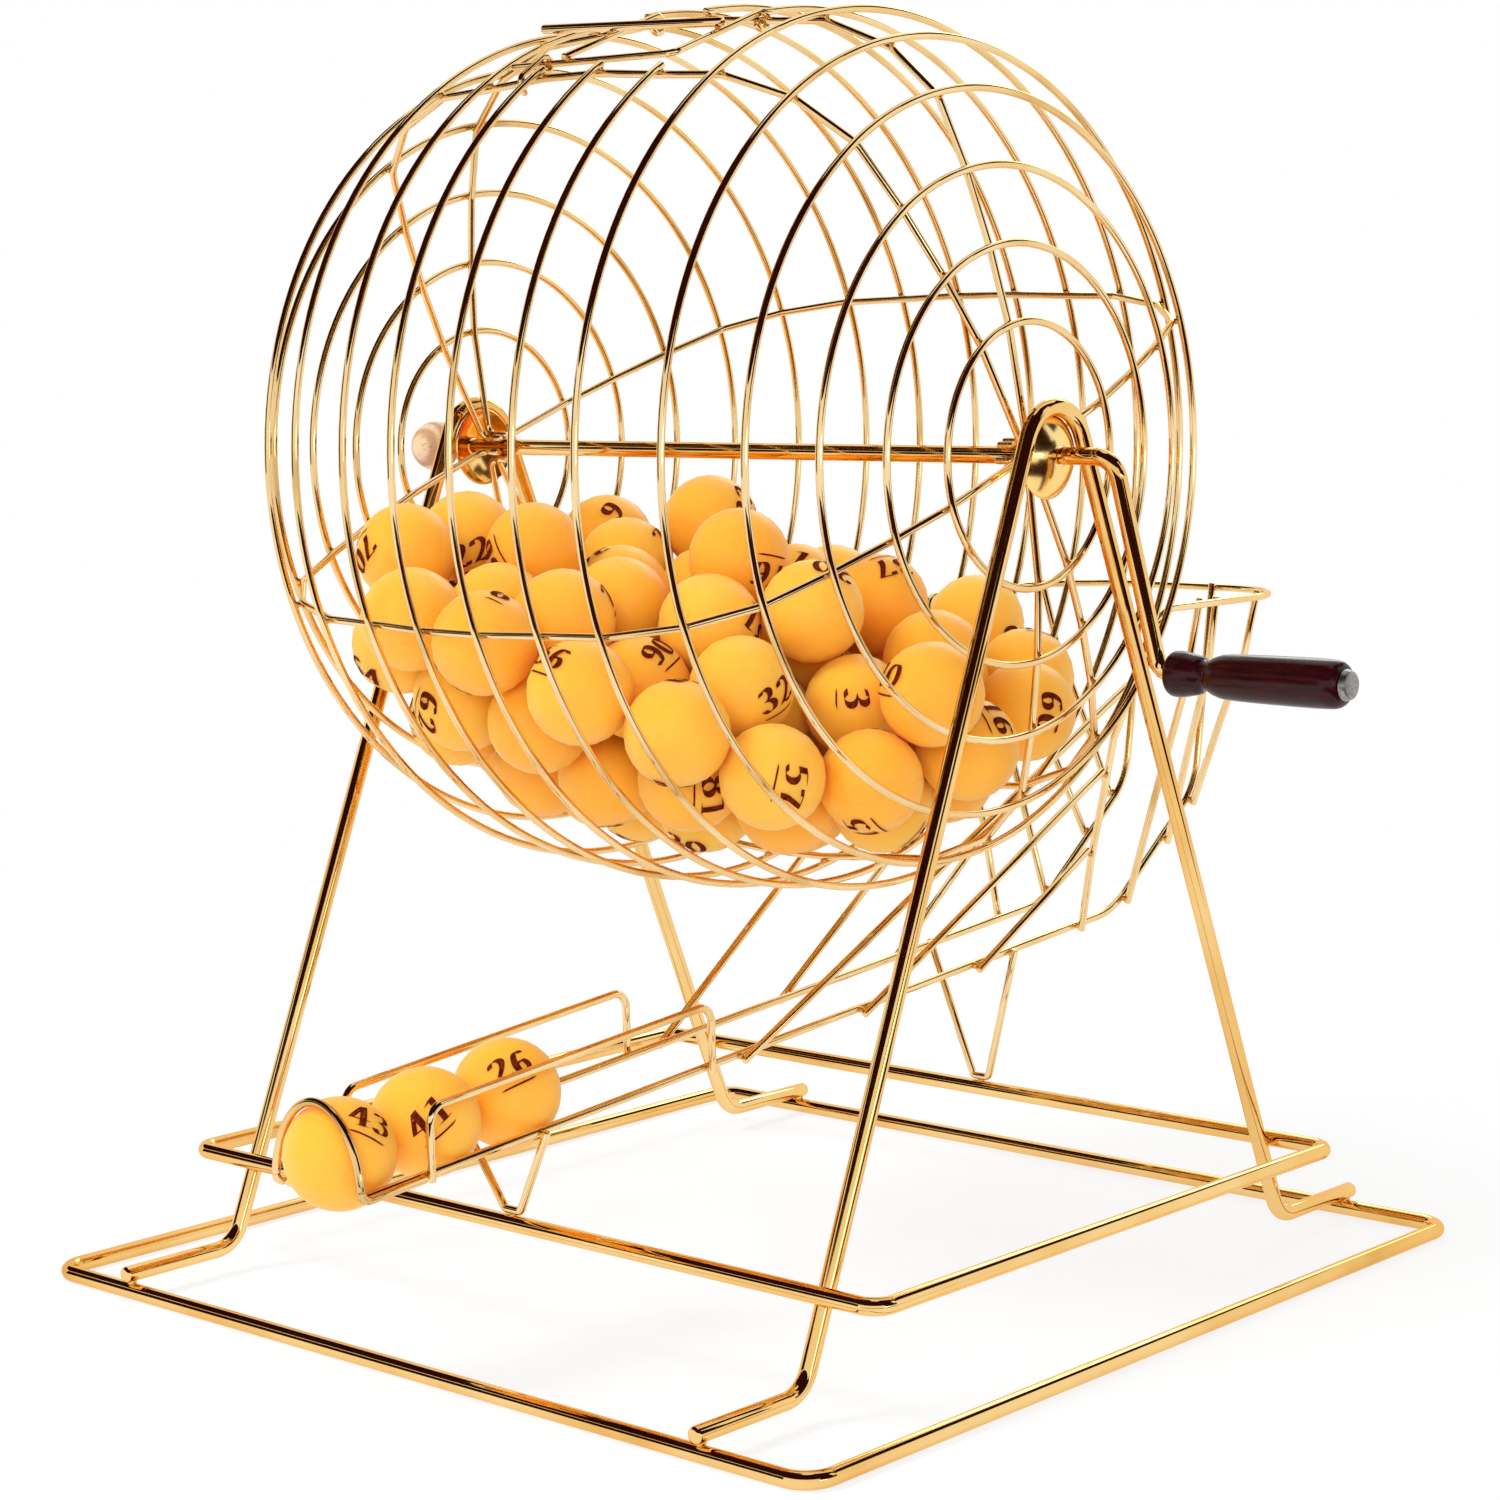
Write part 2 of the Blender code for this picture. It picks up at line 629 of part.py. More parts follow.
# Ball track.
for label, side in (("left", -1), ("right", 1)):
    wire(f"rail_{label}", rail_path(side), TRACK_D, gold, stand)
beside = TRACK_D + GAP
stop_base_z = rail_height(STOP_Y)
stop_path = [Vector((-STOP_HALF, STOP_FOOT_Y, rail_height(STOP_FOOT_Y)))]
for step in range(STOP_STEPS + 1):
    angle = math.pi * (1 - step / STOP_STEPS)
    stop_path.append(Vector((
        STOP_HALF * math.cos(angle),
        STOP_Y,
        stop_base_z + STOP_RISE * math.sin(angle),
    )))
stop_path.append(Vector((STOP_HALF, STOP_FOOT_Y, rail_height(STOP_FOOT_Y))))
wire("ball_stop", stop_path, TRACK_D, gold, stand)
for label, side in (("left", -1), ("right", 1)):
    x = side * (RAIL_HALF + beside)
    front_low = rail_height(GUARD_FRONT_Y + beside) - OVERHANG
    back_low = rail_height(GUARD_BACK_Y) - OVERHANG
    corners = [
        (x, GUARD_FRONT_Y + beside, front_low),
        (x, GUARD_FRONT_Y + beside, rail_height(GUARD_FRONT_Y) + GUARD_RISE),
        (x, GUARD_BACK_Y, rail_height(GUARD_BACK_Y) + GUARD_RISE),
        (x, GUARD_BACK_Y, back_low),
    ]
    wire(f"guard_{label}", round_corners(corners, [GUARD_BEND, GUARD_BEND]), TRACK_D, gold, stand)
for label, side in (("front", -1), ("back", 1)):
    # The strut's ends lean against the rails' outer sides.
    y = side * upper_half_y
    low_z = UPPER_Z + ROD_R + TRACK_D / 2 + GAP
    corners = []
    for hand in (-1, 1):
        foot = Vector((STRUT_SHIFT + hand * STRUT_HALF, y, low_z))
        across = hand * RAIL_HALF - foot.x
        rise = rail_height(y) - low_z
        distance = math.hypot(across, rise)
        lean = math.atan2(rise, abs(across)) - math.asin(beside / distance)
        run = math.sqrt(distance ** 2 - beside ** 2) + OVERHANG
        top = foot + Vector((hand * math.cos(lean), 0, math.sin(lean))) * run
        corners += [top, foot] if hand < 0 else [foot, top]
    wire(f"strut_{label}", round_corners(corners, [STRUT_BEND, STRUT_BEND]), TRACK_D, gold, stand)

# Funnel: the rim's front ends turn down as the two front ribs.
def front_rib(side):
    low = rail_height(FRONT_RIB_Y)
    x_low = RAIL_HALF + beside
    points = [Vector((side * x_low, FRONT_RIB_Y, low - OVERHANG))]
    for height, width in FRONT_RIB_SHARES:
        points.append(Vector((side * width * RAIL_HALF, FRONT_RIB_Y, low + height * (RIM_Z - low))))
    points.append(Vector((side * RIM_HALF, RIM_FRONT_Y, RIM_Z)))
    return points


def rib_half_width(height_share):
    # Half width of a front rib's centre line at a share of the way up.
    steps = [(0, 1 + beside / RAIL_HALF)] + list(FRONT_RIB_SHARES) + [(1, RIM_HALF / RAIL_HALF)]
    for (low_h, low_w), (high_h, high_w) in zip(steps, steps[1:]):
        if low_h <= height_share <= high_h:
            width = low_w + (high_w - low_w) * (height_share - low_h) / (high_h - low_h)
            return width * RAIL_HALF
    return RIM_HALF


left_rib = front_rib(-1)
right_rib = front_rib(1)
rim_path = left_rib + [
    Vector((-RIM_HALF, RIM_BACK_Y, RIM_Z)),
    Vector((RIM_HALF, RIM_BACK_Y, RIM_Z)),
] + list(reversed(right_rib))
rim_radii = [FRONT_RIB_BEND] * len(FRONT_RIB_SHARES) + [FRONT_RIB_BEND, RIM_CORNER, RIM_CORNER, FRONT_RIB_BEND]
rim_radii += [FRONT_RIB_BEND] * len(FRONT_RIB_SHARES)
wire("funnel_rim", round_corners(rim_path, rim_radii), TRACK_D, gold, stand)
for rib_name, rail_step, rim_step in RIB_PLACES:
    rail_y = FRONT_RIB_Y + rail_step
    rim_y = FRONT_RIB_Y + rim_step
    rail_z = rail_place(rail_y)
    for label, side in (("left", -1), ("right", 1)):
        rim_x = RIM_HALF - beside
        corner_y = RIM_BACK_Y - RIM_CORNER
        if rim_y > corner_y:
            past = rim_y - corner_y
            inner = RIM_CORNER - beside
            rim_x = RIM_HALF - RIM_CORNER + math.sqrt(inner ** 2 - past ** 2)
        low_x = RAIL_HALF + beside
        points = [Vector((side * low_x, rail_y, rail_z - OVERHANG))]
        for height, width in RIB_SHARES:
            points.append(Vector((
                side * (low_x + width * (rim_x - low_x)),
                rail_y + height * (rim_y - rail_y),
                rail_z + height * (RIM_Z - rail_z),
            )))
        points.append(Vector((side * rim_x, rim_y, RIM_Z + OVERHANG)))
        radii = [FRONT_RIB_BEND] * len(RIB_SHARES)
        wire(f"funnel_rib_{rib_name}_{label}", round_corners(points, radii), TRACK_D, gold, stand)
for wire_name, rail_y, rib_share in SIDE_WIRES:
    rail_z = rail_height(rail_y)
    low = rail_height(FRONT_RIB_Y)
    for label, side in (("left", -1), ("right", 1)):
        foot = Vector((side * (RAIL_HALF + beside), rail_y, rail_z - OVERHANG))
        head_y = FRONT_RIB_Y + (RIM_FRONT_Y - FRONT_RIB_Y) * max(0, rib_share - FRONT_RIB_SHARES[-1][0])
        head = Vector((
            side * rib_half_width(rib_share),
            head_y - beside,
            low + rib_share * (RIM_Z - low),
        ))
        wire(f"side_wire_{wire_name}_{label}", [foot, head], TRACK_D, gold, stand)

# Balls called so far, side by side on the rails, and the heap in the cage.
for index in range(3):
    along = index * (2 * BALL_R + GAP)
    y = FIRST_BALL_Y + along * math.cos(SLOPE_ANGLE) - BALL_LIFT * math.sin(SLOPE_ANGLE)
    z = rail_height(FIRST_BALL_Y) + along * math.sin(SLOPE_ANGLE) + BALL_LIFT * math.cos(SLOPE_ANGLE)
    track_pivot = pivot(f"ball_pivot_{index + 1}", Vector((0, y, z)), stand)
    piece = ball(f"called_ball_{index + 1}", Vector((0, 0, 0)), BALL_R, BALL_SIDES, parts)
    adopt(piece, orange, track_pivot)
    piece.data.shade_smooth()
build_heap("ball_heap", orange, stand)

# Cage: axle and crank in one bent rod, rings, lengthwise wires.
axle = pivot("axle_pivot", Vector((0, 0, AXLE_Z)), stand)
pin_y = CRANK_LEAN_Y
pin_z = AXLE_Z - CRANK_DROP
crank_path = round_corners(
    [
        (AXLE_END_X, 0, AXLE_Z),
        (CRANK_X, 0, AXLE_Z),
        (CRANK_X + CRANK_LEAN_X, pin_y, pin_z),
        (PIN_END_X, pin_y, pin_z),
    ],
    [CRANK_BEND, PIN_BEND],
)
wire("crank_axle", crank_path, ROD_D, gold, axle, ROD_SIDES)
knob_profile = []
knob_bore = ROD_R + GAP
mouth = math.asin(knob_bore / KNOB_R)
knob_steps = 3 * BEND_STEPS
for step in range(knob_steps + 1):
    angle = math.pi - (math.pi - mouth) * step / knob_steps
    knob_profile.append((KNOB_R * math.sin(angle), KNOB_R * math.cos(angle)))
knob_profile[0] = (0, -KNOB_R)
knob_depth = AXLE_END_X - GAP - KNOB_X
knob_profile += [(knob_bore, knob_depth), (0, knob_depth)]
knob_profile.reverse()
turned("knob", knob_profile, bare_wood, axle, 16, Vector((KNOB_X, 0, AXLE_Z)), False)
for number in range(1, 2 * len(RING_SHARES) + 1):
    cut = number in CUT_RING_NUMBERS
    wire(f"cage_ring_{number:02d}", ring_path(number), CAGE_D, gold, axle, 6, not cut)
for number, angles in enumerate(zip(WIRE_DEGREES, HUB_DEGREES), 1):
    wire(f"cage_wire_{number}", cage_wire_path(*angles), CAGE_D, gold, axle)

# Grip: a turned sleeve that spins on the crank pin, with a rivet outside it.
grip_axis = pivot("grip_pivot", Vector((0, pin_y, pin_z)), axle)
grip_bore = ROD_R + GAP
length = GRIP_END_X - GRIP_START_X
grip_shares = (
    (1.00, 0.62), (0.985, 0.86), (0.95, 0.97), (0.85, 1.0), (0.60, 0.985), (0.34, 0.93),
    (0.26, 0.80), (0.215, 0.0),
)
grip_profile = []
for along, width in grip_shares:
    radius = GRIP_NECK_R if width == 0 else GRIP_R * width
    grip_profile.append((radius, GRIP_START_X + along * length))
bulb_shares = ((0.17, 0.0), (0.12, 0.90), (0.06, 1.0), (0.02, 0.95), (0.0, 0.80))
for along, width in bulb_shares:
    radius = GRIP_NECK_R if width == 0 else GRIP_BULB_R * width
    grip_profile.append((radius, GRIP_START_X + along * length))
grip_profile += [(grip_bore, GRIP_START_X), (grip_bore, GRIP_END_X)]
turned("crank_grip", grip_profile, lacquer, grip_axis, 20, Vector((0, pin_y, pin_z)), True)
rivet_start = GRIP_END_X + GAP
rivet_end = PIN_END_X + RIVET_T
rivet_profile = [
    (0, rivet_end),
    (RIVET_R / 2, rivet_end - RIVET_T / 8),
    (RIVET_R, rivet_end - RIVET_T / 2),
    (RIVET_R, rivet_start),
    (grip_bore, rivet_start),
    (grip_bore, PIN_END_X + GAP),
    (0, PIN_END_X + GAP),
]
turned("grip_rivet", rivet_profile, rivet_metal, axle, 16, Vector((0, pin_y, pin_z)), False)

# Door over the gap in the middle rings. Two eyes turn on the hinge wire.
rings = ring_table()
eye_gap = CAGE_D / 2 + DOOR_D / 2 + GAP
left_x = rings[CUT_RING_NUMBERS[0] - 1][0] + eye_gap
right_x = rings[CUT_RING_NUMBERS[-1] - 1][0] - eye_gap
hinge_degrees = WIRE_DEGREES[HINGE_WIRE_NUMBER]
eye_left = on_cage(left_x, wire_radius(left_x), hinge_degrees)
eye_right = on_cage(right_x, wire_radius(right_x), hinge_degrees)
door = pivot("door_pivot", eye_left, axle)
front_r = wire_radius(0)
front_left = on_cage(left_x, front_r, DOOR_FRONT_DEGREES)
front_right = on_cage(right_x, front_r, DOOR_FRONT_DEGREES)
up = Vector((0, math.cos(hinge_degrees * DEGREE), math.sin(hinge_degrees * DEGREE)))
ahead_side = Vector((0, -up.z, up.y))
front_up = Vector((0, math.cos(DOOR_FRONT_DEGREES * DEGREE), math.sin(DOOR_FRONT_DEGREES * DEGREE)))
front_ahead = Vector((0, -front_up.z, front_up.y))
side_end = front_left + front_up * (DOOR_D + GAP) + front_ahead * OVERHANG
left_path = eye_path(eye_left, eye_gap, ahead_side, up) + [side_end]
wire("door_side", left_path, DOOR_D, gold, door)
frame_path = eye_path(eye_right, eye_gap, ahead_side, up)
# The front bar ends beside the last whole ring.
front_end = Vector((rings[CUT_RING_NUMBERS[0] - 2][0] + CAGE_D / 2 + 2 * GAP, front_left.y, front_left.z))
frame_tail = round_corners([frame_path[-1], front_right, front_end], [DOOR_CORNER])
wire("door_frame", frame_path[:-1] + frame_tail, DOOR_D, gold, door)
# The middle bar lies on both sides of the door where it crosses them.
share = (BAR_DEGREES - hinge_degrees) / (DOOR_FRONT_DEGREES - hinge_degrees)
bar_lift = DOOR_D / 2 + BAR_D / 2 + GAP
bar_points = []
for start, end in ((left_path[-2], side_end), (frame_path[-1], front_right)):
    spot = start.lerp(end, share)
    run = (end - start).normalized()
    out = Vector((0, run.z, -run.y)).normalized()
    bar_points.append(spot + out * bar_lift * (1 if out.z > 0 else -1))
bar_run = (bar_points[1] - bar_points[0]).normalized()
bar_path = [bar_points[0] - bar_run * BAR_LEFT, bar_points[1] + bar_run * BAR_RIGHT]
wire("door_bar", bar_path, BAR_D, gold, door)

# Latch: a hook that turns on the front bar and drops over the lock wire.
latch_x = left_x - LATCH_INSET
latch_eye = on_cage(latch_x, front_r, DOOR_FRONT_DEGREES)
lock_spot = on_cage(latch_x, wire_radius(latch_x), WIRE_DEGREES[LOCK_WIRE_NUMBER])
latch = pivot("latch_pivot", latch_eye, door)
latch_ahead = (lock_spot - latch_eye).normalized()
latch_out = Vector((0, latch_ahead.z, -latch_ahead.y))
if latch_out.z < 0:
    latch_out = -latch_out
latch_path = eye_path(latch_eye, (DOOR_D + LATCH_D) / 2 + GAP, latch_ahead, latch_out)
hook_r = (CAGE_D + LATCH_D) / 2 + GAP
for step in range(EYE_STEPS // 4 + 1):
    angle = math.pi / 2 * (1 - step / (EYE_STEPS // 4))
    latch_path.append(
        lock_spot + latch_ahead * (hook_r * math.cos(angle)) + latch_out * (hook_r * math.sin(angle))
    )
latch_path.append(latch_path[-1] - latch_out * LATCH_TAIL)
wire("door_latch", latch_path, LATCH_D, gold, latch)

for piece in parts.objects:
    if piece.type == "MESH" and piece.name != "ball_heap":
        piece.data.shade_smooth()
        piece.data.set_sharp_from_angle(angle=DEGREE * 40)
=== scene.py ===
import math
import random

import bmesh
import bpy
import numpy as np
from mathutils import Matrix, Vector


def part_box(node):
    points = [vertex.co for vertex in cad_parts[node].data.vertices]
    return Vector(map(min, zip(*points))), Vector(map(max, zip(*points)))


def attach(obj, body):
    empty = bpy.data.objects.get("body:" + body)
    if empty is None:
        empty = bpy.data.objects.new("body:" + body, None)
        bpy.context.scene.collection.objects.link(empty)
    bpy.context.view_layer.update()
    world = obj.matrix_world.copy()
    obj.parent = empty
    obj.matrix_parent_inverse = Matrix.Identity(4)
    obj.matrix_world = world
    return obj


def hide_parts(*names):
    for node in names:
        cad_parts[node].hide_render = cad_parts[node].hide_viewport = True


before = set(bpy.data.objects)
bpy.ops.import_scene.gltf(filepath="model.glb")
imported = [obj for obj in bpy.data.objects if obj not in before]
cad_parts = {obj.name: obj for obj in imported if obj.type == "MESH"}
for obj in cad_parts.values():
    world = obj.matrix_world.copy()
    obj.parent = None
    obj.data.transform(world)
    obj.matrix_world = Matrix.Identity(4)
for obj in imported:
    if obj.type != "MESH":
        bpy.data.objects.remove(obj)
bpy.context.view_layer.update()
print("frame loaded,", len(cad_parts), "nodes")

# All sizes are in metres. x = 0 is halfway between the legs, y = 0 is at the axle,
# and middle moves a place from there into the frame's own coordinates.
middle = Vector((0.0283264, 0.0278720, 0))
gauge = {"rod": 0.006, "track": 0.003, "cage": 0.0027, "door": 0.0026, "bar": 0.0035, "latch": 0.0022}
gap = 0.0003  # between wires that touch
overhang = 0.002  # wire left past a brazed crossing
axleZ = 0.303


# materials

def linearColour(code):
    # "#RRGGBB" in sRGB to linear
    parts = [int(code[i:i + 2], 16) / 255 for i in (1, 3, 5)]
    return tuple(c / 12.92 if c <= 0.04045 else ((c + 0.055) / 1.055) ** 2.4 for c in parts) + (1,)


bandsPerMetre = 20 / math.tau  # of a wave texture with scale 1


def linkNodes(tree, node, links):
    # links are {socket: (node, output)}
    for key, (source, output) in links.items():
        tree.links.new(source.outputs[output], node.inputs[key])


def addNode(tree, kind, settings=None, links=None):
    # settings are sockets, by name or number, properties, or the stops of a colour ramp
    node = tree.nodes.new("ShaderNode" + kind)
    for key, value in (settings or {}).items():
        if key == "stops":
            elements = node.color_ramp.elements
            while len(elements) < len(value):
                elements.new(0.5)
            for element, (position, colour) in zip(elements, value):
                element.position = position
                element.color = linearColour(colour)
        elif isinstance(key, int) or key in node.inputs:
            node.inputs[key].default_value = value
        else:
            setattr(node, key, value)
    linkNodes(tree, node, links or {})
    return node


def newMaterial(name, settings):
    # the last value returned links a pattern to the piece's own coordinates
    material = bpy.data.materials.new(name)
    material.use_nodes = True
    tree = material.node_tree
    shader = tree.nodes["Principled BSDF"]
    for key, value in settings.items():
        shader.inputs[key].default_value = value
    return material, tree, shader, {"Vector": (addNode(tree, "TexCoord"), "Object")}


def goldPlate(name, pale, deep, tarnish, spotMm, rough, ripple=0.025):
    # Steel wire, bright drawn and plated with thin brass: a mirror with a warm tint, a little
    # deeper where the plating is thicker, and faintly rippled along the draw.
    material, tree, shader, onPiece = newMaterial(name, {
        "Metallic": 1.0, "Specular Tint": linearColour("#FFE0C0"),
    })
    spots = addNode(tree, "TexNoise", {"Scale": 1000 / spotMm, "Detail": 2.0, "Roughness": 0.5}, onPiece)
    tint = addNode(tree, "ValToRGB", {"stops": [(0.28, tarnish), (0.40, deep), (0.62, pale)]},
                   {"Fac": (spots, "Fac")})
    haze = addNode(tree, "TexNoise", {"Scale": 1000 / 22, "Detail": 2.0}, onPiece)
    polish = addNode(tree, "MapRange", {"To Min": rough[0], "To Max": rough[1]}, {"Value": (haze, "Fac")})
    wave = addNode(tree, "Bump", {"Strength": ripple, "Distance": 0.0001}, {"Height": (haze, "Fac")})
    linkNodes(tree, shader, {"Base Color": (tint, "Color"), "Roughness": (polish, "Result"),
                             "Normal": (wave, "Normal")})
    return material


rodGold = goldPlate("brassPlatedRod", "#F8D38E", "#F0C072", "#DCA95A", 60, (0.03, 0.09))
wireGold = goldPlate("brassPlatedWire", "#F8DDA8", "#EFCC8E", "#DAB272", 45, (0.03, 0.10))
# the cups' brass plating is set paler all over than the rods', as a painted highlight
cupGoldPaintedHighlight = goldPlate("brassPlatedSheetPaintedHighlight", "#FFE096", "#FFD37C", "#F2BA5C", 30, (0.12, 0.20))
brazeGold = goldPlate("brazedJoint", "#EDC27A", "#DDAA5C", "#A87A3E", 3, (0.16, 0.3), 0.15)


def celluloidOrange():
    # Thin blown plastic in two halves, as on a table tennis ball: matt, slightly see-through,
    # glowing a little at the rim, with a faint seam round the middle, 0.9 mm wide.
    material, tree, shader, onPiece = newMaterial("orangeCelluloid", {
        "Roughness": 0.45, "IOR": 1.45, "Subsurface Weight": 0.85, "Subsurface Radius": (1.0, 0.35, 0.08),
        "Subsurface Scale": 0.022, "Sheen Weight": 0.05,
    })
    own = addNode(tree, "Attribute", {"attribute_name": "ballSpace"})
    split = addNode(tree, "SeparateXYZ", links={"Vector": (own, "Vector")})
    away = addNode(tree, "Math", {"operation": "ABSOLUTE"}, {0: (split, "Z")})
    seam = addNode(tree, "MapRange", {"From Min": 0.0, "From Max": 0.00045, "To Min": 1.0, "To Max": 0.0},
                   {"Value": (away, "Value")})
    weakSeam = addNode(tree, "Math", {"operation": "MULTIPLY", 1: 0.2}, {0: (seam, "Result")})
    cloud = addNode(tree, "TexNoise", {"Scale": 1000 / 45, "Detail": 2.0}, onPiece)
    weakCloud = addNode(tree, "Math", {"operation": "MULTIPLY", 1: 0.4}, {0: (cloud, "Fac")})
    batch = addNode(tree, "Attribute", {"attribute_name": "ballTone"})
    shade = addNode(tree, "Math", {"operation": "MULTIPLY_ADD", 1: 0.6},
                    {0: (batch, "Fac"), 2: (weakCloud, "Value")})
    tint = addNode(tree, "ValToRGB", {"stops": [(0.1, "#FFAC34"), (0.5, "#FFB63C"), (0.9, "#FFC048")]},
                   {"Fac": (shade, "Value")})
    both = addNode(tree, "Mix", {"data_type": "RGBA", 7: linearColour("#F08A1E")},
                   {0: (weakSeam, "Value"), 6: (tint, "Color")})
    grain = addNode(tree, "TexNoise", {"Scale": 1000 / 0.8}, onPiece)
    skin = addNode(tree, "Bump", {"Strength": 0.12, "Distance": 0.00005}, {"Height": (grain, "Fac")})
    ridge = addNode(tree, "Bump", {"Strength": 0.2, "Distance": 0.00008},
                    {"Height": (seam, "Result"), "Normal": (skin, "Normal")})
    linkNodes(tree, shader, {"Base Color": (both, 2), "Normal": (ridge, "Normal")})
    return material


def printedInk():
    # Pad-printed ink: flat dark brown, patchy where the pad lifted early.
    material, tree, shader, onPiece = newMaterial("padPrintedInk", {
        "Roughness": 0.6, "Specular IOR Level": 0.02,
    })
    patch = addNode(tree, "TexNoise", {"Scale": 1000 / 1.6, "Detail": 2.0}, onPiece)
    tint = addNode(tree, "ValToRGB", {"stops": [(0.35, "#461206"), (0.75, "#7A2E10")]}, {"Fac": (patch, "Fac")})
    linkNodes(tree, shader, {"Base Color": (tint, "Color")})
    return material


def lacqueredWood():
    # Turned hardwood under thick dark burgundy lacquer: nearly black, glossy, a hint of the
    # grain below and faint rings left by the lathe.
    material, tree, shader, onPiece = newMaterial("burgundyLacquer", {
        "Specular IOR Level": 0.22, "Coat Weight": 0.06, "Coat Roughness": 0.06,
    })
    stretch = addNode(tree, "Mapping", {"Scale": (0.12, 1, 1)}, onPiece)
    grain = addNode(tree, "TexNoise", {"Scale": 1000 / 1.4, "Detail": 4.0}, {"Vector": (stretch, "Vector")})
    tint = addNode(tree, "ValToRGB", {"stops": [(0.3, "#1A0205"), (0.62, "#2E0408"), (0.8, "#400A0E")]},
                   {"Fac": (grain, "Fac")})
    wear = addNode(tree, "MapRange", {"To Min": 0.14, "To Max": 0.30}, {"Value": (grain, "Fac")})
    rings = addNode(tree, "TexWave", {
        "wave_type": "BANDS", "bands_direction": "X", "Scale": 1000 / 2.369 / bandsPerMetre, "Distortion": 1.5,
    }, onPiece)
    lathe = addNode(tree, "Bump", {"Strength": 0.1, "Distance": 0.00008}, {"Height": (rings, "Fac")})
    linkNodes(tree, shader, {"Base Color": (tint, "Color"), "Roughness": (wear, "Result"),
                             "Normal": (lathe, "Normal")})
    return material


def bareWood():
    # Turned beech, sanded and left raw: matt, pinkish beige, short dark flecks along the grain.
    material, tree, shader, onPiece = newMaterial("rawBeech", {"Roughness": 0.62, "IOR": 1.45})
    stretch = addNode(tree, "Mapping", {"Scale": (0.25, 1, 1)}, onPiece)
    bands = addNode(tree, "TexWave", {
        "wave_type": "BANDS", "bands_direction": "Y", "Scale": 1000 / 4.343 / bandsPerMetre,
        "Distortion": 6.0, "Detail": 2.0,
    }, {"Vector": (stretch, "Vector")})
    flecks = addNode(tree, "TexNoise", {"Scale": 1000 / 0.7, "Detail": 3.0}, {"Vector": (stretch, "Vector")})
    tint = addNode(tree, "ValToRGB", {"stops": [(0.1, "#C49A76"), (0.6, "#DDB792"), (0.9, "#E6C6A4")]},
                   {"Fac": (bands, "Fac")})
    fleck = addNode(tree, "ValToRGB", {"stops": [(0.32, "#9C6F4E"), (0.42, "#FFFFFF")]},
                    {"Fac": (flecks, "Fac")})
    both = addNode(tree, "Mix", {"data_type": "RGBA", "blend_type": "MULTIPLY", 0: 0.5},
                   {6: (tint, "Color"), 7: (fleck, "Color")})
    pores = addNode(tree, "Bump", {"Strength": 0.2, "Distance": 0.0001}, {"Height": (flecks, "Fac")})
    linkNodes(tree, shader, {"Base Color": (both, 2), "Normal": (pores, "Normal")})
    return material


def rivetSteel():
    # Mild steel rivet, tumbled: grey with tiny dents.
    material, tree, shader, onPiece = newMaterial("tumbledSteel", {"Metallic": 1.0, "Roughness": 0.38})
    dents = addNode(tree, "TexNoise", {"Scale": 1000 / 0.9, "Detail": 3.0}, onPiece)
    tint = addNode(tree, "ValToRGB", {"stops": [(0.3, "#7E7C7A"), (0.7, "#B4B2AE")]}, {"Fac": (dents, "Fac")})
    bump = addNode(tree, "Bump", {"Strength": 0.3, "Distance": 0.0001}, {"Height": (dents, "Fac")})
    linkNodes(tree, shader, {"Base Color": (tint, "Color"), "Normal": (bump, "Normal")})
    return material


orangePlastic = celluloidOrange()
ink = printedInk()
gripLacquer = lacqueredWood()
beech = bareWood()
steel = rivetSteel()
print("materials made")


# helpers that make pieces

hands = (("left", -1), ("right", 1))
crease = {"wire": math.radians(55), "spun": math.radians(50)}  # edges that turn more stay sharp


def addObject(name, data):
    made = bpy.data.objects.new(name, data)
    bpy.context.scene.collection.objects.link(made)
    return made


def meshFrom(shape, name, smooth=True):
    mesh = bpy.data.meshes.new(name)
    shape.to_mesh(mesh)
    shape.free()
    if smooth:
        mesh.shade_smooth()
    return mesh


def addPiece(name, mesh, material, slot, body, *nodes):
    piece = addObject(name, mesh)
    mesh.materials.append(material)
    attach(piece, body)
    if nodes:
        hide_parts(*nodes)


def spread(start, stop, steps):
    # even steps from start to stop, both included
    return [start + (stop - start) * step / steps for step in range(steps + 1)]


def valueAt(place, pairs):
    # on the straight lines through (place, value) pairs
    for (before, low), (after, high) in zip(pairs, pairs[1:]):
        if before <= place <= after:
            return low + (high - low) * (place - before) / (after - before)
    return pairs[-1][1]


def roundCorners(points, radii, stepDegrees=7):
    # an open path with each inner corner turned into an arc
    path = [Vector(points[0])]
    for index in range(1, len(points) - 1):
        radius = radii[index - 1]
        corner = Vector(points[index])
        before = (Vector(points[index - 1]) - corner).normalized()
        after = (Vector(points[index + 1]) - corner).normalized()
        turn = math.pi - before.angle(after)
        if radius == 0 or turn < math.radians(0.5):
            path.append(corner)
            continue
        steps = max(2, math.ceil(math.degrees(turn) / stepDegrees))
        reach = radius * math.tan(turn / 2)
        centre = corner + (after + before).normalized() * (radius / math.cos(turn / 2))
        first = corner + before * reach - centre
        second = corner + after * reach - centre
        for share in spread(0, 1, steps):
            arm = first * math.sin((1 - share) * turn) + second * math.sin(share * turn)
            path.append(centre + arm / math.sin(turn))
    path.append(Vector(points[-1]))
    return path


# chamfer of a cut end: share of the width at the tip, then at distances from it in diameters
cutEnd = {"tip": 0.68, "distances": (0.07, 0.2), "widths": (0.9, 1.0)}


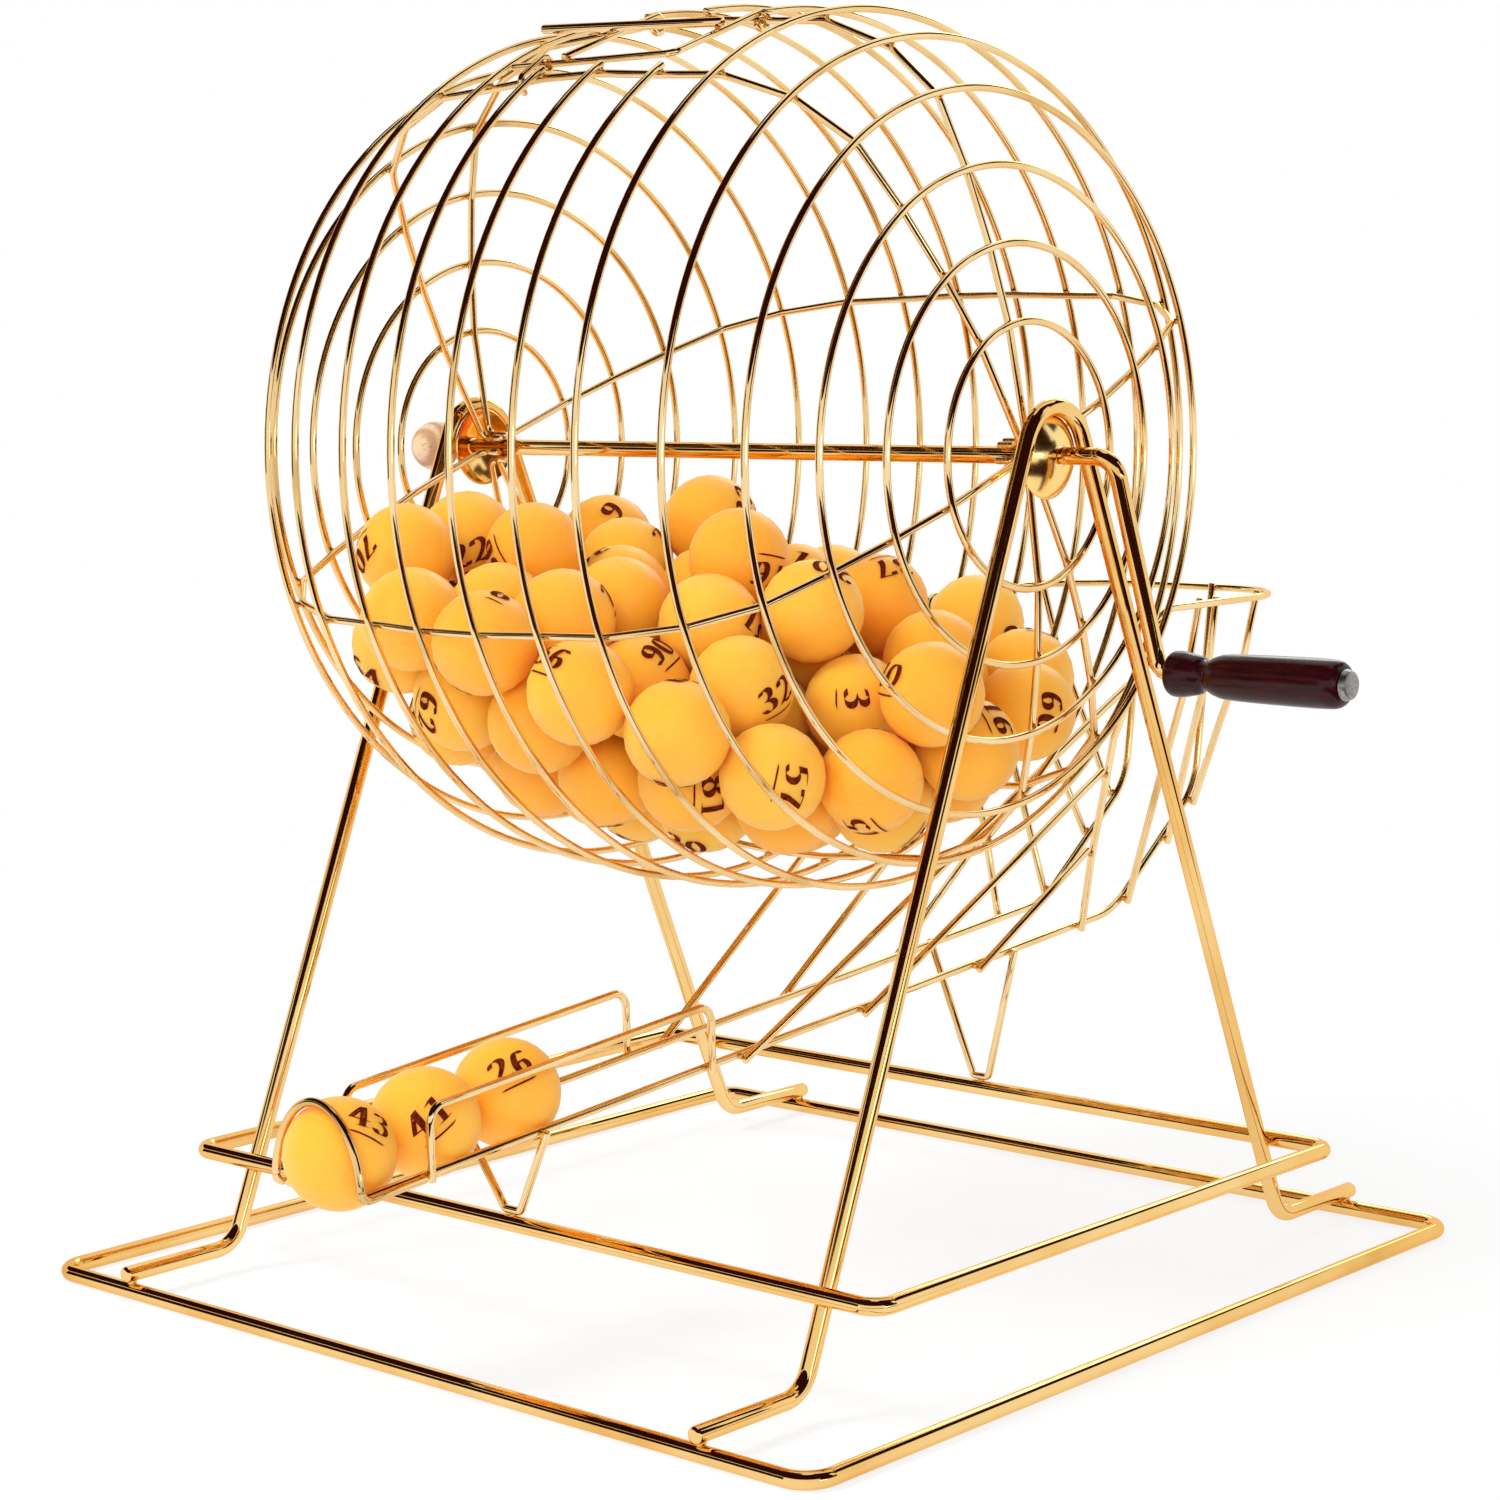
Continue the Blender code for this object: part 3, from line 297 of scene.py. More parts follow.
def bentWire(name, points, kind, body, node, sides=12, closed=False):
    # a curve with a round bevel, its cut ends chamfered, turned into a mesh
    diameter = gauge[kind]
    path = [Vector(point) - middle for point in points]
    widths = [1.0] * len(path)
    if not closed:
        for _ in range(2):
            run = (path[1] - path[0]).normalized() * diameter
            path[1:1] = [path[0] + run * distance for distance in cutEnd["distances"]]
            widths[0:1] = [cutEnd["tip"], *cutEnd["widths"]]
            path.reverse()
            widths.reverse()
    curve = bpy.data.curves.new(name, "CURVE")
    curve.dimensions = "3D"
    curve.bevel_depth = diameter / 2
    curve.bevel_resolution = sides // 2 - 2
    curve.use_fill_caps = not closed
    spline = curve.splines.new("POLY")
    spline.points.add(len(path) - 1)
    spline.use_cyclic_u = closed
    for point, place, width in zip(spline.points, path, widths):
        point.co = (*place, 1)
        point.radius = width
    draft = bpy.data.objects.new(name + "Draft", curve)
    mesh = bpy.data.meshes.new_from_object(draft)
    mesh.name = name
    bpy.data.objects.remove(draft)
    bpy.data.curves.remove(curve)
    mesh.shade_smooth()
    mesh.set_sharp_from_angle(angle=crease["wire"])
    mesh.materials.clear()
    addPiece(name, mesh, rodGold if kind == "rod" else wireGold, "brassed_steel", body, node)


def spun(name, profile, centre, body, node, material, slot, steps, closed, bevel):
    # a profile of (radius, distance along x) spun round a line along x
    shape = bmesh.new()
    verts = [shape.verts.new((along, 0, radius)) for radius, along in profile]
    for one, two in zip(verts, verts[1:]):
        shape.edges.new((one, two))
    if closed:
        shape.edges.new((verts[-1], verts[0]))
    bmesh.ops.spin(shape, geom=shape.verts[:] + shape.edges[:], cent=(0, 0, 0), axis=(1, 0, 0), angle=math.tau,
                   steps=steps, use_merge=True)
    bmesh.ops.remove_doubles(shape, verts=shape.verts, dist=1e-6)
    bmesh.ops.recalc_face_normals(shape, faces=shape.faces)
    sharp = [edge for edge in shape.edges if edge.calc_face_angle(0) > crease["spun"]]
    bmesh.ops.bevel(shape, geom=sharp, offset=bevel, segments=2, profile=0.5, affect="EDGES", material=-1)
    bmesh.ops.translate(shape, verts=shape.verts, vec=Vector(centre) - middle)
    mesh = meshFrom(shape, name)
    mesh.set_sharp_from_angle(angle=crease["spun"])
    addPiece(name, mesh, material, slot, body, node)


jointSpots = {"stand": [], "cage": [], "door": []}  # (place, size) of every brazed crossing
jointSize = {"rod": 0.0042, "track": 0.0030, "strut": 0.0032, "ring": 0.0027, "hub": 0.0030, "door": 0.0026,
             "bar": 0.0028, "radius": 0.44, "stretch": (0.9, 1.15)}


def braze(body, place, size):
    jointSpots[body].append((Vector(place), jointSize[size]))


def onCage(x, radius, degrees):
    angle = math.radians(degrees)
    return Vector((x, radius * math.cos(angle), axleZ + radius * math.sin(angle)))


# stand: base loop, upper loop and the two bent legs

stand = {
    "baseHalfX": 0.1862, "baseHalfY": 0.185, "baseCorner": 0.010,
    "upperHalfX": 0.1683, "upperZ": 0.0413, "upperCorner": 0.007,
    "legX": 0.1416, "footY": 0.1372, "toe": 0.0035, "footBend": 0.012, "archR": 0.0165,
}
rodR = gauge["rod"] / 2
rodReach = rodR / math.cos(math.pi / 8)  # the frame's rods have eight sides
footZ = rodR + rodReach + gap + rodR
legRise = axleZ - footZ
legSlope = math.atan2(legRise, stand["footY"]) + math.asin(stand["archR"] / math.hypot(stand["footY"], legRise))
upperHalfY = stand["footY"] - (stand["upperZ"] - footZ) / math.tan(legSlope)
upperHalfY += (gauge["rod"] + gap) / math.cos(math.pi / 2 - legSlope)


def rodLoop(name, halfX, halfY, height, corner, node):
    path = []
    for quarter in range(4):
        signX = 1 if quarter in (0, 3) else -1
        signY = 1 if quarter in (0, 1) else -1
        for angle in spread(quarter * math.pi / 2, (quarter + 1) * math.pi / 2, 12):
            path.append((signX * (halfX - corner) + corner * math.cos(angle),
                         signY * (halfY - corner) + corner * math.sin(angle), height))
    bentWire(name, path, "rod", "stand", node, 20, True)


def legPath(side):
    x = side * stand["legX"]
    first = legSlope + math.pi / 2
    last = math.pi / 2 - legSlope
    arch = [(x, stand["archR"] * math.cos(angle), axleZ + stand["archR"] * math.sin(angle))
            for angle in spread(first, last, 32)]
    toeY = stand["baseHalfY"] + stand["toe"]
    front = roundCorners([(x, -toeY, footZ), (x, -stand["footY"], footZ), arch[0]], [stand["footBend"]])
    back = roundCorners([arch[-1], (x, stand["footY"], footZ), (x, toeY, footZ)], [stand["footBend"]])
    return front + [Vector(point) for point in arch[1:-1]] + back


rodLoop("baseLoop", stand["baseHalfX"], stand["baseHalfY"], rodR, stand["baseCorner"], "base_frame")
rodLoop("upperLoop", stand["upperHalfX"], upperHalfY, stand["upperZ"], stand["upperCorner"], "upper_frame")
for label, side in hands:
    bentWire(label + "Leg", legPath(side), "rod", "stand", "a_frame_" + label, 20)
    for sign in (-1, 1):
        braze("stand", (side * stand["legX"], sign * stand["baseHalfY"], footZ - rodR), "rod")
        braze("stand", (side * stand["legX"], sign * (upperHalfY - rodR - gap), stand["upperZ"]), "rod")

# bearing cups: thin domes pressed from sheet, seated in the legs' round tops
cup = {"rimR": 0.0147, "domeR": 0.020, "wall": 0.0008, "bore": rodR + 0.0004, "edge": 0.00018}
cupCentre = stand["legX"] - math.sqrt((cup["domeR"] + cup["wall"] / 2 + gap + rodR) ** 2 - stand["archR"] ** 2)
for label, side in hands:
    profile = []
    for radius, edges in ((cup["domeR"] + cup["wall"] / 2, (cup["bore"], cup["rimR"])),
                          (cup["domeR"] - cup["wall"] / 2, (cup["rimR"], cup["bore"]))):
        start, end = (math.asin(edge / cup["domeR"]) for edge in edges)
        for angle in spread(start, end, 12):
            profile.append((radius * math.sin(angle), side * (cupCentre + radius * math.cos(angle))))
    spun(label + "Cup", profile, (0, 0, axleZ), "stand", "bearing_cup_" + label, cupGoldPaintedHighlight, "brassed_steel",
         80, True, cup["edge"])
print("stand made")


# ball track: two rails, stop, guards and the struts that carry it

track = {
    "railHalf": 0.018, "front": (-0.213, 0.069), "bend": (0.202, 0.105), "rise": (0.262, 0.150),
    "lowBend": 0.040, "highBend": 0.030, "stopY": -0.2150, "stopRise": 0.0305, "stopFootY": -0.187,
    "stopBend": 0.0035,
    "guardFrontY": -0.1875, "guardBackY": -0.047, "guardRise": 0.0235, "guardBend": 0.006,
    "strutShift": 0.004, "strutHalf": 0.0038, "strutBend": 0.002,
}
funnel = {
    "rimZ": 0.234, "rimHalf": 0.0605, "rimFrontY": 0.178, "rimBackY": 0.2785, "rimCorner": 0.036,
    "frontRibY": 0.176, "ribBend": 0.008, "frontRib": ((0.22, 1.48), (0.44, 1.86), (0.60, 2.12)),
    "ribs": (("mid", 0.208, 0.209), ("rear", 0.237, 0.2205), ("back", 0.2555, 0.253)),
    "ribShape": ((0.40, 0.44), (0.72, 0.80)),
    "sideWires": (("front", -0.030, 0.77), ("mid", 0.038, 0.50), ("back", 0.108, 0.25)),
}
railSlope = (track["bend"][1] - track["front"][1]) / (track["bend"][0] - track["front"][0])
beside = gauge["track"] + gap
stopHalf = track["railHalf"] + beside
touchHalf = track["railHalf"] + beside / 2


def railHeight(y):
    return track["front"][1] + railSlope * (y - track["front"][0])


ribFootZ = railHeight(funnel["frontRibY"])


def railPath(side):
    x = side * track["railHalf"]
    top = (x, funnel["rimBackY"] - beside, funnel["rimZ"] + overhang)
    return roundCorners([(x, *track["front"]), (x, *track["bend"]), (x, *track["rise"]), top],
                        [track["lowBend"], track["highBend"]], 3)


stopFootZ = railHeight(track["stopFootY"])
stopPath = [(-stopHalf, track["stopFootY"], stopFootZ)]
for angle in spread(math.pi, 0, 48):
    stopPath.append((stopHalf * math.cos(angle), track["stopY"],
                     railHeight(track["stopY"]) + track["stopRise"] * math.sin(angle)))
stopPath.append((stopHalf, track["stopFootY"], stopFootZ))
stopRadii = [track["stopBend"]] + [0] * 47 + [track["stopBend"]]
bentWire("ballStop", roundCorners(stopPath, stopRadii), "track", "stand", "ball_stop", 14)

for label, side in hands:
    bentWire(label + "Rail", railPath(side), "track", "stand", "rail_" + label, 14)
    x = side * stopHalf
    frontY = track["guardFrontY"] + beside
    corners = [
        (x, frontY, railHeight(frontY) - overhang),
        (x, frontY, railHeight(track["guardFrontY"]) + track["guardRise"]),
        (x, track["guardBackY"], railHeight(track["guardBackY"]) + track["guardRise"]),
        (x, track["guardBackY"], railHeight(track["guardBackY"]) - overhang),
    ]
    path = roundCorners(corners, [track["guardBend"]] * 2)
    bentWire(label + "Guard", path, "track", "stand", "guard_" + label)
    for y in (frontY, track["guardBackY"], track["stopFootY"]):
        braze("stand", (side * touchHalf, y, railHeight(y)), "track")

for label, side in (("front", -1), ("back", 1)):
    y = side * upperHalfY
    lowZ = stand["upperZ"] + rodR + gauge["track"] / 2 + gap
    corners = []
    for hand in (-1, 1):
        foot = Vector((track["strutShift"] + hand * track["strutHalf"], y, lowZ))
        across = hand * track["railHalf"] - foot.x
        rise = railHeight(y) - lowZ
        distance = math.hypot(across, rise)
        lean = math.atan2(rise, abs(across)) - math.asin(beside / distance)
        run = math.sqrt(distance ** 2 - beside ** 2)
        way = Vector((hand * math.cos(lean), 0, math.sin(lean)))
        top = foot + way * (run + overhang)
        corners += [top, foot] if hand < 0 else [foot, top]
        rail = Vector((hand * track["railHalf"], y, railHeight(y)))
        braze("stand", (foot + way * run).lerp(rail, 0.5), "track")
    path = roundCorners(corners, [track["strutBend"]] * 2, 12)
    bentWire(label + "Strut", path, "track", "stand", "strut_" + label)
    braze("stand", (track["strutShift"], y, stand["upperZ"] + rodR), "strut")
print("track made")


# funnel behind the cage: the rim's front ends turn down as the two front ribs

def frontRib(side):
    points = [(side * stopHalf, funnel["frontRibY"], ribFootZ - overhang)]
    for height, width in funnel["frontRib"]:
        points.append((side * width * track["railHalf"], funnel["frontRibY"],
                       ribFootZ + height * (funnel["rimZ"] - ribFootZ)))
    return points + [(side * funnel["rimHalf"], funnel["rimFrontY"], funnel["rimZ"])]


rimPath = frontRib(-1) + [(side * funnel["rimHalf"], funnel["rimBackY"], funnel["rimZ"]) for side in (-1, 1)]
rimPath += frontRib(1)[::-1]
rimRadii = [funnel["ribBend"]] * 4 + [funnel["rimCorner"]] * 2 + [funnel["ribBend"]] * 4
bentWire("funnelRim", roundCorners(rimPath, rimRadii, 5), "track", "stand", "funnel_rim", 14)
for side in (-1, 1):
    braze("stand", (side * touchHalf, funnel["frontRibY"], ribFootZ), "track")
    braze("stand", (side * track["railHalf"], funnel["rimBackY"] - beside / 2, funnel["rimZ"]), "track")

railSide = [(point.y, point.z) for point in railPath(1)]
for ribName, railY, rimY in funnel["ribs"]:
    railZ = valueAt(railY, railSide)
    for label, side in hands:
        rimX = funnel["rimHalf"] - beside
        past = rimY - (funnel["rimBackY"] - funnel["rimCorner"])
        if past > 0:
            inner = funnel["rimCorner"] - beside
            rimX = funnel["rimHalf"] - funnel["rimCorner"] + math.sqrt(inner ** 2 - past ** 2)
        points = [(side * stopHalf, railY, railZ - overhang)]
        for height, width in funnel["ribShape"]:
            points.append((side * (stopHalf + width * (rimX - stopHalf)), railY + height * (rimY - railY),
                           railZ + height * (funnel["rimZ"] - railZ)))
        points.append((side * rimX, rimY, funnel["rimZ"] + overhang))
        bentWire(ribName + label.capitalize() + "Rib", roundCorners(points, [funnel["ribBend"]] * 2), "track",
                 "stand", f"funnel_rib_{ribName}_{label}")
        braze("stand", (side * touchHalf, railY, railZ), "track")
        braze("stand", (side * (rimX + beside / 2), rimY, funnel["rimZ"]), "track")

ribWidths = [(0, stopHalf / track["railHalf"]), *funnel["frontRib"], (1, funnel["rimHalf"] / track["railHalf"])]
for wireName, railY, ribShare in funnel["sideWires"]:
    railZ = railHeight(railY)
    for label, side in hands:
        foot = Vector((side * stopHalf, railY, railZ - overhang))
        lean = (funnel["rimFrontY"] - funnel["frontRibY"]) * max(0, ribShare - funnel["frontRib"][-1][0])
        head = Vector((side * valueAt(ribShare, ribWidths) * track["railHalf"],
                       funnel["frontRibY"] + lean - beside, ribFootZ + ribShare * (funnel["rimZ"] - ribFootZ)))
        bentWire(wireName + label.capitalize() + "SideWire", [foot, head], "track", "stand",
                 f"side_wire_{wireName}_{label}")
        braze("stand", (side * touchHalf, railY, railZ), "track")
        braze("stand", head + Vector((0, beside / 2, -overhang)), "track")
print("funnel made")


# cage: axle and crank, rings, lengthwise wires

crank = {
    "axleEndX": -0.1695, "x": 0.1662, "bend": 0.008, "drop": 0.074, "leanX": 0.0036, "leanY": 0.0206,
    "pinBend": 0.005, "pinEndX": 0.2445,
}
pin = Vector((0, crank["leanY"], axleZ - crank["drop"]))
bentWire("axleAndCrank", roundCorners([
    (crank["axleEndX"], 0, axleZ), (crank["x"], 0, axleZ),
    (crank["x"] + crank["leanX"], pin.y, pin.z), (crank["pinEndX"], pin.y, pin.z),
], [crank["bend"], crank["pinBend"]]), "rod", "cage", "crank_axle", 20)

cage = {
    "shift": -0.0026, "legClear": 0.00065, "radius": 0.1582, "spokeInset": 0.0015, "spokeBend": 0.004,
    "spokeTail": 0.010, "tailJoint": 0.6, "shoulderBend": 0.005,
    "rings": ((1.000, 0.287), (0.969, 0.454), (0.923, 0.621), (0.858, 0.786), (0.716, 0.903), (0.510, 0.973),
              (0.309, 0.985), (0.106, 1.000)),
    "wires": (21, 100, 121.8, 201, 280, 302), "hubs": (21, 92, 131, 201, 272, 310),
    "hinge": 1, "lock": 2, "cut": (8, 9, 10), "steps": 144, "wireBend": 0.010,
}
ringHalf = stand["legX"] - rodR - gauge["cage"] / 2 - abs(cage["shift"]) - cage["legClear"]
spokeX = ringHalf - cage["spokeInset"]
half = [(along * ringHalf, radius * cage["radius"]) for along, radius in cage["rings"]]
rings = [(cage["shift"] - along, radius) for along, radius in half]
rings += [(cage["shift"] + along, radius) for along, radius in reversed(half)]
wireStops = []  # where a lengthwise wire passes under each ring
for index, (x, radius) in enumerate(rings):
    xBefore, rBefore = rings[max(index - 1, 0)]
    xAfter, rAfter = rings[min(index + 1, len(rings) - 1)]
    along = Vector((xAfter - xBefore, rAfter - rBefore)).normalized()
    wireStops.append((x + along.y * (gauge["cage"] + gap), radius - along.x * (gauge["cage"] + gap)))

lockDegrees = cage["wires"][cage["lock"]]
hingeDegrees = cage["wires"][cage["hinge"]]
for number, (x, radius) in enumerate(rings, 1):
    cut = number in cage["cut"]
    over = math.degrees(overhang / radius)
    start = lockDegrees - over if cut else 0
    sweep = hingeDegrees + 360 + over - start if cut else 360
    count = math.ceil(cage["steps"] * sweep / 360)
    path = [onCage(x, radius, degrees) for degrees in spread(start, start + sweep, count)][:count + cut]
    bentWire(f"ring{number:02d}", path, "cage", "cage", f"cage_ring_{number:02d}", closed=not cut)

axleSide = rodR + gauge["cage"] / 2 + gap
left = cage["shift"] - spokeX
right = cage["shift"] + spokeX
for number, (degrees, hub) in enumerate(zip(cage["wires"], cage["hubs"]), 1):
    points = [onCage(left + cage["spokeTail"], axleSide, hub), onCage(left, axleSide, hub)]
    points += [onCage(x, radius, degrees) for x, radius in wireStops]
    points += [onCage(right, axleSide, hub), onCage(right - cage["spokeTail"], axleSide, hub)]
    radii = [cage["wireBend"]] * (len(points) - 2)
    radii[0] = radii[-1] = cage["spokeBend"]
    radii[1] = radii[-2] = cage["shoulderBend"]
    bentWire(f"cageWire{number}", roundCorners(points, radii, 5), "cage", "cage", f"cage_wire_{number}")
    for (x, radius), (ringX, ringR) in zip(wireStops, rings):
        braze("cage", onCage((x + ringX) / 2, (radius + ringR) / 2, degrees), "ring")
    for x in (left + cage["spokeTail"] * cage["tailJoint"], right - cage["spokeTail"] * cage["tailJoint"]):
        braze("cage", onCage(x, (axleSide + rodR) / 2, hub), "hub")
print("cage made")


# wooden ball on the axle's far end
knob = {"radius": 0.0097, "x": -0.1661, "edge": 0.0003}
bore = rodR + gap
mouth = math.asin(bore / knob["radius"])
bottom = crank["axleEndX"] - gap - knob["x"]
profile = [(0, bottom), (bore, bottom)]
for angle in spread(mouth, math.pi, 24):
    profile.append((knob["radius"] * math.sin(angle), knob["radius"] * math.cos(angle)))
profile[-1] = (0, -knob["radius"])
spun("woodenKnob", profile, (knob["x"], 0, axleZ), "cage", "knob", beech, "bare_wood", 48, False,
     knob["edge"])

# turned grip: bead, neck and a long body with a round end; the rivet holds it on the pin
grip = {
    "start": 0.1756, "end": 0.2432, "beadR": 0.0079, "neckR": 0.0052, "radius": 0.00835, "edge": 0.0002,
    "neck": (0.215, 0.19),
    "body": ((1.0, 0.62), (0.996, 0.74), (0.985, 0.86), (0.97, 0.93), (0.95, 0.97), (0.91, 0.99), (0.85, 1.0),
             (0.72, 0.995), (0.6, 0.985), (0.46, 0.962), (0.34, 0.93), (0.3, 0.89), (0.26, 0.8), (0.235, 0.7)),
    "bead": ((0.182, 0.72), (0.172, 0.80), (0.15, 0.86), (0.12, 0.91), (0.09, 0.96), (0.06, 0.99), (0.035, 1.0),
             (0.015, 0.98), (0.005, 0.93), (0.0, 0.85)),
}
gripLength = grip["end"] - grip["start"]
turned = [(grip["radius"] * share, along) for along, share in grip["body"]]
turned += [(grip["neckR"], along) for along in grip["neck"]]
turned += [(grip["beadR"] * share, along) for along, share in grip["bead"]]
profile = [(radius, grip["start"] + along * gripLength) for radius, along in turned]
profile = [(bore, grip["end"]), *profile, (bore, grip["start"])]
spun("turnedGrip", profile, pin, "grip", "crank_grip", gripLacquer, "dark_lacquered_wood", 64, True,
     grip["edge"])
rivet = {"radius": 0.0054, "thick": 0.0016, "dome": 0.6, "edge": 0.0002}
rivetStart = grip["end"] + gap
rivetEnd = crank["pinEndX"] + rivet["thick"]
pinTop = crank["pinEndX"] + gap
profile = [(0, pinTop), (bore, pinTop), (bore, rivetStart), (rivet["radius"], rivetStart)]
for share in (0.35, 0.6, 0.8, 0.93, 1.0):
    angle = share * math.pi / 2
    profile.append((rivet["radius"] * math.cos(angle),
                    rivetEnd - rivet["thick"] * rivet["dome"] * (1 - math.sin(angle))))
profile[-1] = (0, rivetEnd)
spun("gripRivet", profile, pin, "cage", "grip_rivet", steel, "rivet_steel", 40, False, rivet["edge"])
print("crank fittings made")


# door over the cut rings: two eyes turn on the hinge wire, a middle bar lies on top

door = {"frontDegrees": 117.5, "barDegrees": 108.5, "barLeft": 0.032, "barRight": 0.0028, "corner": 0.003,
        "eyeTurns": 0.75}


def eyePath(centre, radius, ahead, out):
    return [centre + ahead * (radius * math.cos(angle)) + out * (radius * math.sin(angle))
            for angle in spread(0, -math.tau * door["eyeTurns"], 30)]


def cageAxes(degrees):
    # outward, and ahead from the hinge to the front bar
    out = onCage(0, 1, degrees) - Vector((0, 0, axleZ))
    return out, Vector((0, -out.z, out.y))


def upFrom(run):
    # square to a run across the cage, on its upper side
    out = Vector((0, run.z, -run.y)).normalized()
    return out if out.z > 0 else -out


eyeReach = gauge["cage"] / 2 + gauge["door"] / 2 + gap
leftX = rings[cage["cut"][0] - 1][0] + eyeReach
rightX = rings[cage["cut"][-1] - 1][0] - eyeReach
eyeLeft = onCage(leftX, valueAt(leftX, wireStops), hingeDegrees)
eyeRight = onCage(rightX, valueAt(rightX, wireStops), hingeDegrees)
frontR = valueAt(0, wireStops)
frontLeft = onCage(leftX, frontR, door["frontDegrees"])
frontRight = onCage(rightX, frontR, door["frontDegrees"])
hingeUp, hingeAhead = cageAxes(hingeDegrees)
frontUp, frontAhead = cageAxes(door["frontDegrees"])
sideEnd = frontLeft + frontUp * (gauge["door"] + gap) + frontAhead * overhang
leftSide = eyePath(eyeLeft, eyeReach, hingeAhead, hingeUp) + [sideEnd]
bentWire("doorSide", leftSide, "door", "door", "door_side")
rightSide = eyePath(eyeRight, eyeReach, hingeAhead, hingeUp)
frontEnd = Vector((rings[cage["cut"][0] - 2][0] + gauge["cage"] / 2 + 2 * gap, frontLeft.y, frontLeft.z))
tail = roundCorners([rightSide[-1], frontRight, frontEnd], [door["corner"]])
bentWire("doorFrame", rightSide[:-1] + tail, "door", "door", "door_frame")
braze("door", frontLeft + frontUp * (gauge["door"] + gap) / 2, "door")

share = (door["barDegrees"] - hingeDegrees) / (door["frontDegrees"] - hingeDegrees)
barLift = gauge["door"] / 2 + gauge["bar"] / 2 + gap
barPoints = []
for start, end in ((leftSide[-2], sideEnd), (rightSide[-1], frontRight)):
    spot = start.lerp(end, share)
    out = upFrom((end - start).normalized())
    barPoints.append(spot + out * barLift)
    braze("door", spot + out * (barLift - gauge["bar"] / 2), "bar")
barRun = (barPoints[1] - barPoints[0]).normalized()
bentWire("doorBar", [barPoints[0] - barRun * door["barLeft"], barPoints[1] + barRun * door["barRight"]],
         "bar", "door", "door_bar", 14)

# latch: a wire hook that turns on the front bar and drops over the lock wire
latch = {"inset": 0.012, "tail": 0.0035}
latchX = leftX - latch["inset"]
latchEye = onCage(latchX, frontR, door["frontDegrees"])
lockSpot = onCage(latchX, valueAt(latchX, wireStops), lockDegrees)
latchAhead = (lockSpot - latchEye).normalized()
latchOut = upFrom(latchAhead)
path = eyePath(latchEye, (gauge["door"] + gauge["latch"]) / 2 + gap, latchAhead, latchOut)
hookR = (gauge["cage"] + gauge["latch"]) / 2 + gap
for angle in spread(math.pi / 2, 0, 8):
    path.append(lockSpot + latchAhead * (hookR * math.cos(angle)) + latchOut * (hookR * math.sin(angle)))
path.append(path[-1] - latchOut * latch["tail"])
bentWire("doorLatch", path, "latch", "latch", "door_latch")
print("door made")


# brazed joints: a small blob of filler in each crossing

for body, spots in jointSpots.items():
    shape = bmesh.new()
    random.seed(len(spots))
    for place, size in spots:
        blob = bmesh.ops.create_icosphere(shape, subdivisions=2, radius=size * jointSize["radius"])
        stretch = [random.uniform(*jointSize["stretch"]) for _ in range(3)]
        bmesh.ops.scale(shape, verts=blob["verts"], vec=stretch)
        bmesh.ops.translate(shape, verts=blob["verts"], vec=place - middle)
    addPiece(body + "Joints", meshFrom(shape, body + "Joints"), brazeGold, "brassed_steel", body)
print("joints made,", sum(len(spots) for spots in jointSpots.values()))


# balls

balls = {
    "radius": 0.019, "heapRadius": 0.01865, "heapCount": 84, "seed": 3, "tilt": (-0.25, 0.0, -1.0),
    "pitch": 1.96, "clear": 0.0052, "axleClear": 0.006, "rounds": 700, "passes": 4, "drop": 0.0012,
    "lateFrom": 0.7, "lateDrop": 0.1, "startLow": 0.75, "push": 0.55,
}


def heapCentres():
    # lets the balls sink in the cage and pushes them apart, off the walls and off the axle
    profile = [(spokeX, 0)] + [(abs(x - cage["shift"]), radius) for x, radius in wireStops[:len(half)]]
    profile.append((0, profile[-1][1]))
    walls = []
    for (xA, rA), (xB, rB) in zip(profile, profile[1:]):
        normal = np.array((rB - rA, xA - xB))
        normal = normal / np.hypot(*normal)
        limit = normal @ np.array((xA, rA)) - balls["radius"] - gauge["cage"] / 2 - balls["clear"]
        walls.append((normal, limit))
    chance = np.random.RandomState(balls["seed"])
    wide = cage["radius"] / 2
    lowest, highest = -cage["radius"] * balls["startLow"], -cage["radius"] / 8
    centres = chance.uniform((-wide, -wide, lowest), (wide, wide, highest), (balls["heapCount"], 3))
    down = np.array(balls["tilt"]) / np.linalg.norm(balls["tilt"])
    pitch = balls["pitch"] * balls["radius"]
    hub = rodR + balls["radius"] + balls["axleClear"]
    itself = np.eye(balls["heapCount"])
    for turn in range(balls["rounds"]):
        late = turn > balls["rounds"] * balls["lateFrom"]
        centres = centres + down * balls["drop"] * (balls["lateDrop"] if late else 1)
        for _ in range(balls["passes"]):
            apart = centres[:, None] - centres[None]
            reach = np.sqrt((apart ** 2).sum(2)) + itself
            push = np.where(reach < pitch, (pitch - reach) / 2, 0) * (1 - itself)
            centres = centres + (apart / reach[..., None] * push[..., None]).sum(1) * balls["push"]
            for normal, limit in walls:
                side = np.sign(centres[:, 0] - cage["shift"])
                radius = np.maximum(np.hypot(centres[:, 1], centres[:, 2]), gap)
                out = normal[0] * np.abs(centres[:, 0] - cage["shift"]) + normal[1] * radius
                past = np.maximum(out - limit, 0)
                centres[:, 0] -= side * past * normal[0]
                centres[:, 1:] -= (past * normal[1] / radius)[:, None] * centres[:, 1:]
            radius = np.maximum(np.hypot(centres[:, 1], centres[:, 2]), gap)
            centres[:, 1:] += (np.maximum(hub - radius, 0) / radius)[:, None] * centres[:, 1:]
    return centres + np.array((0, 0, axleZ))


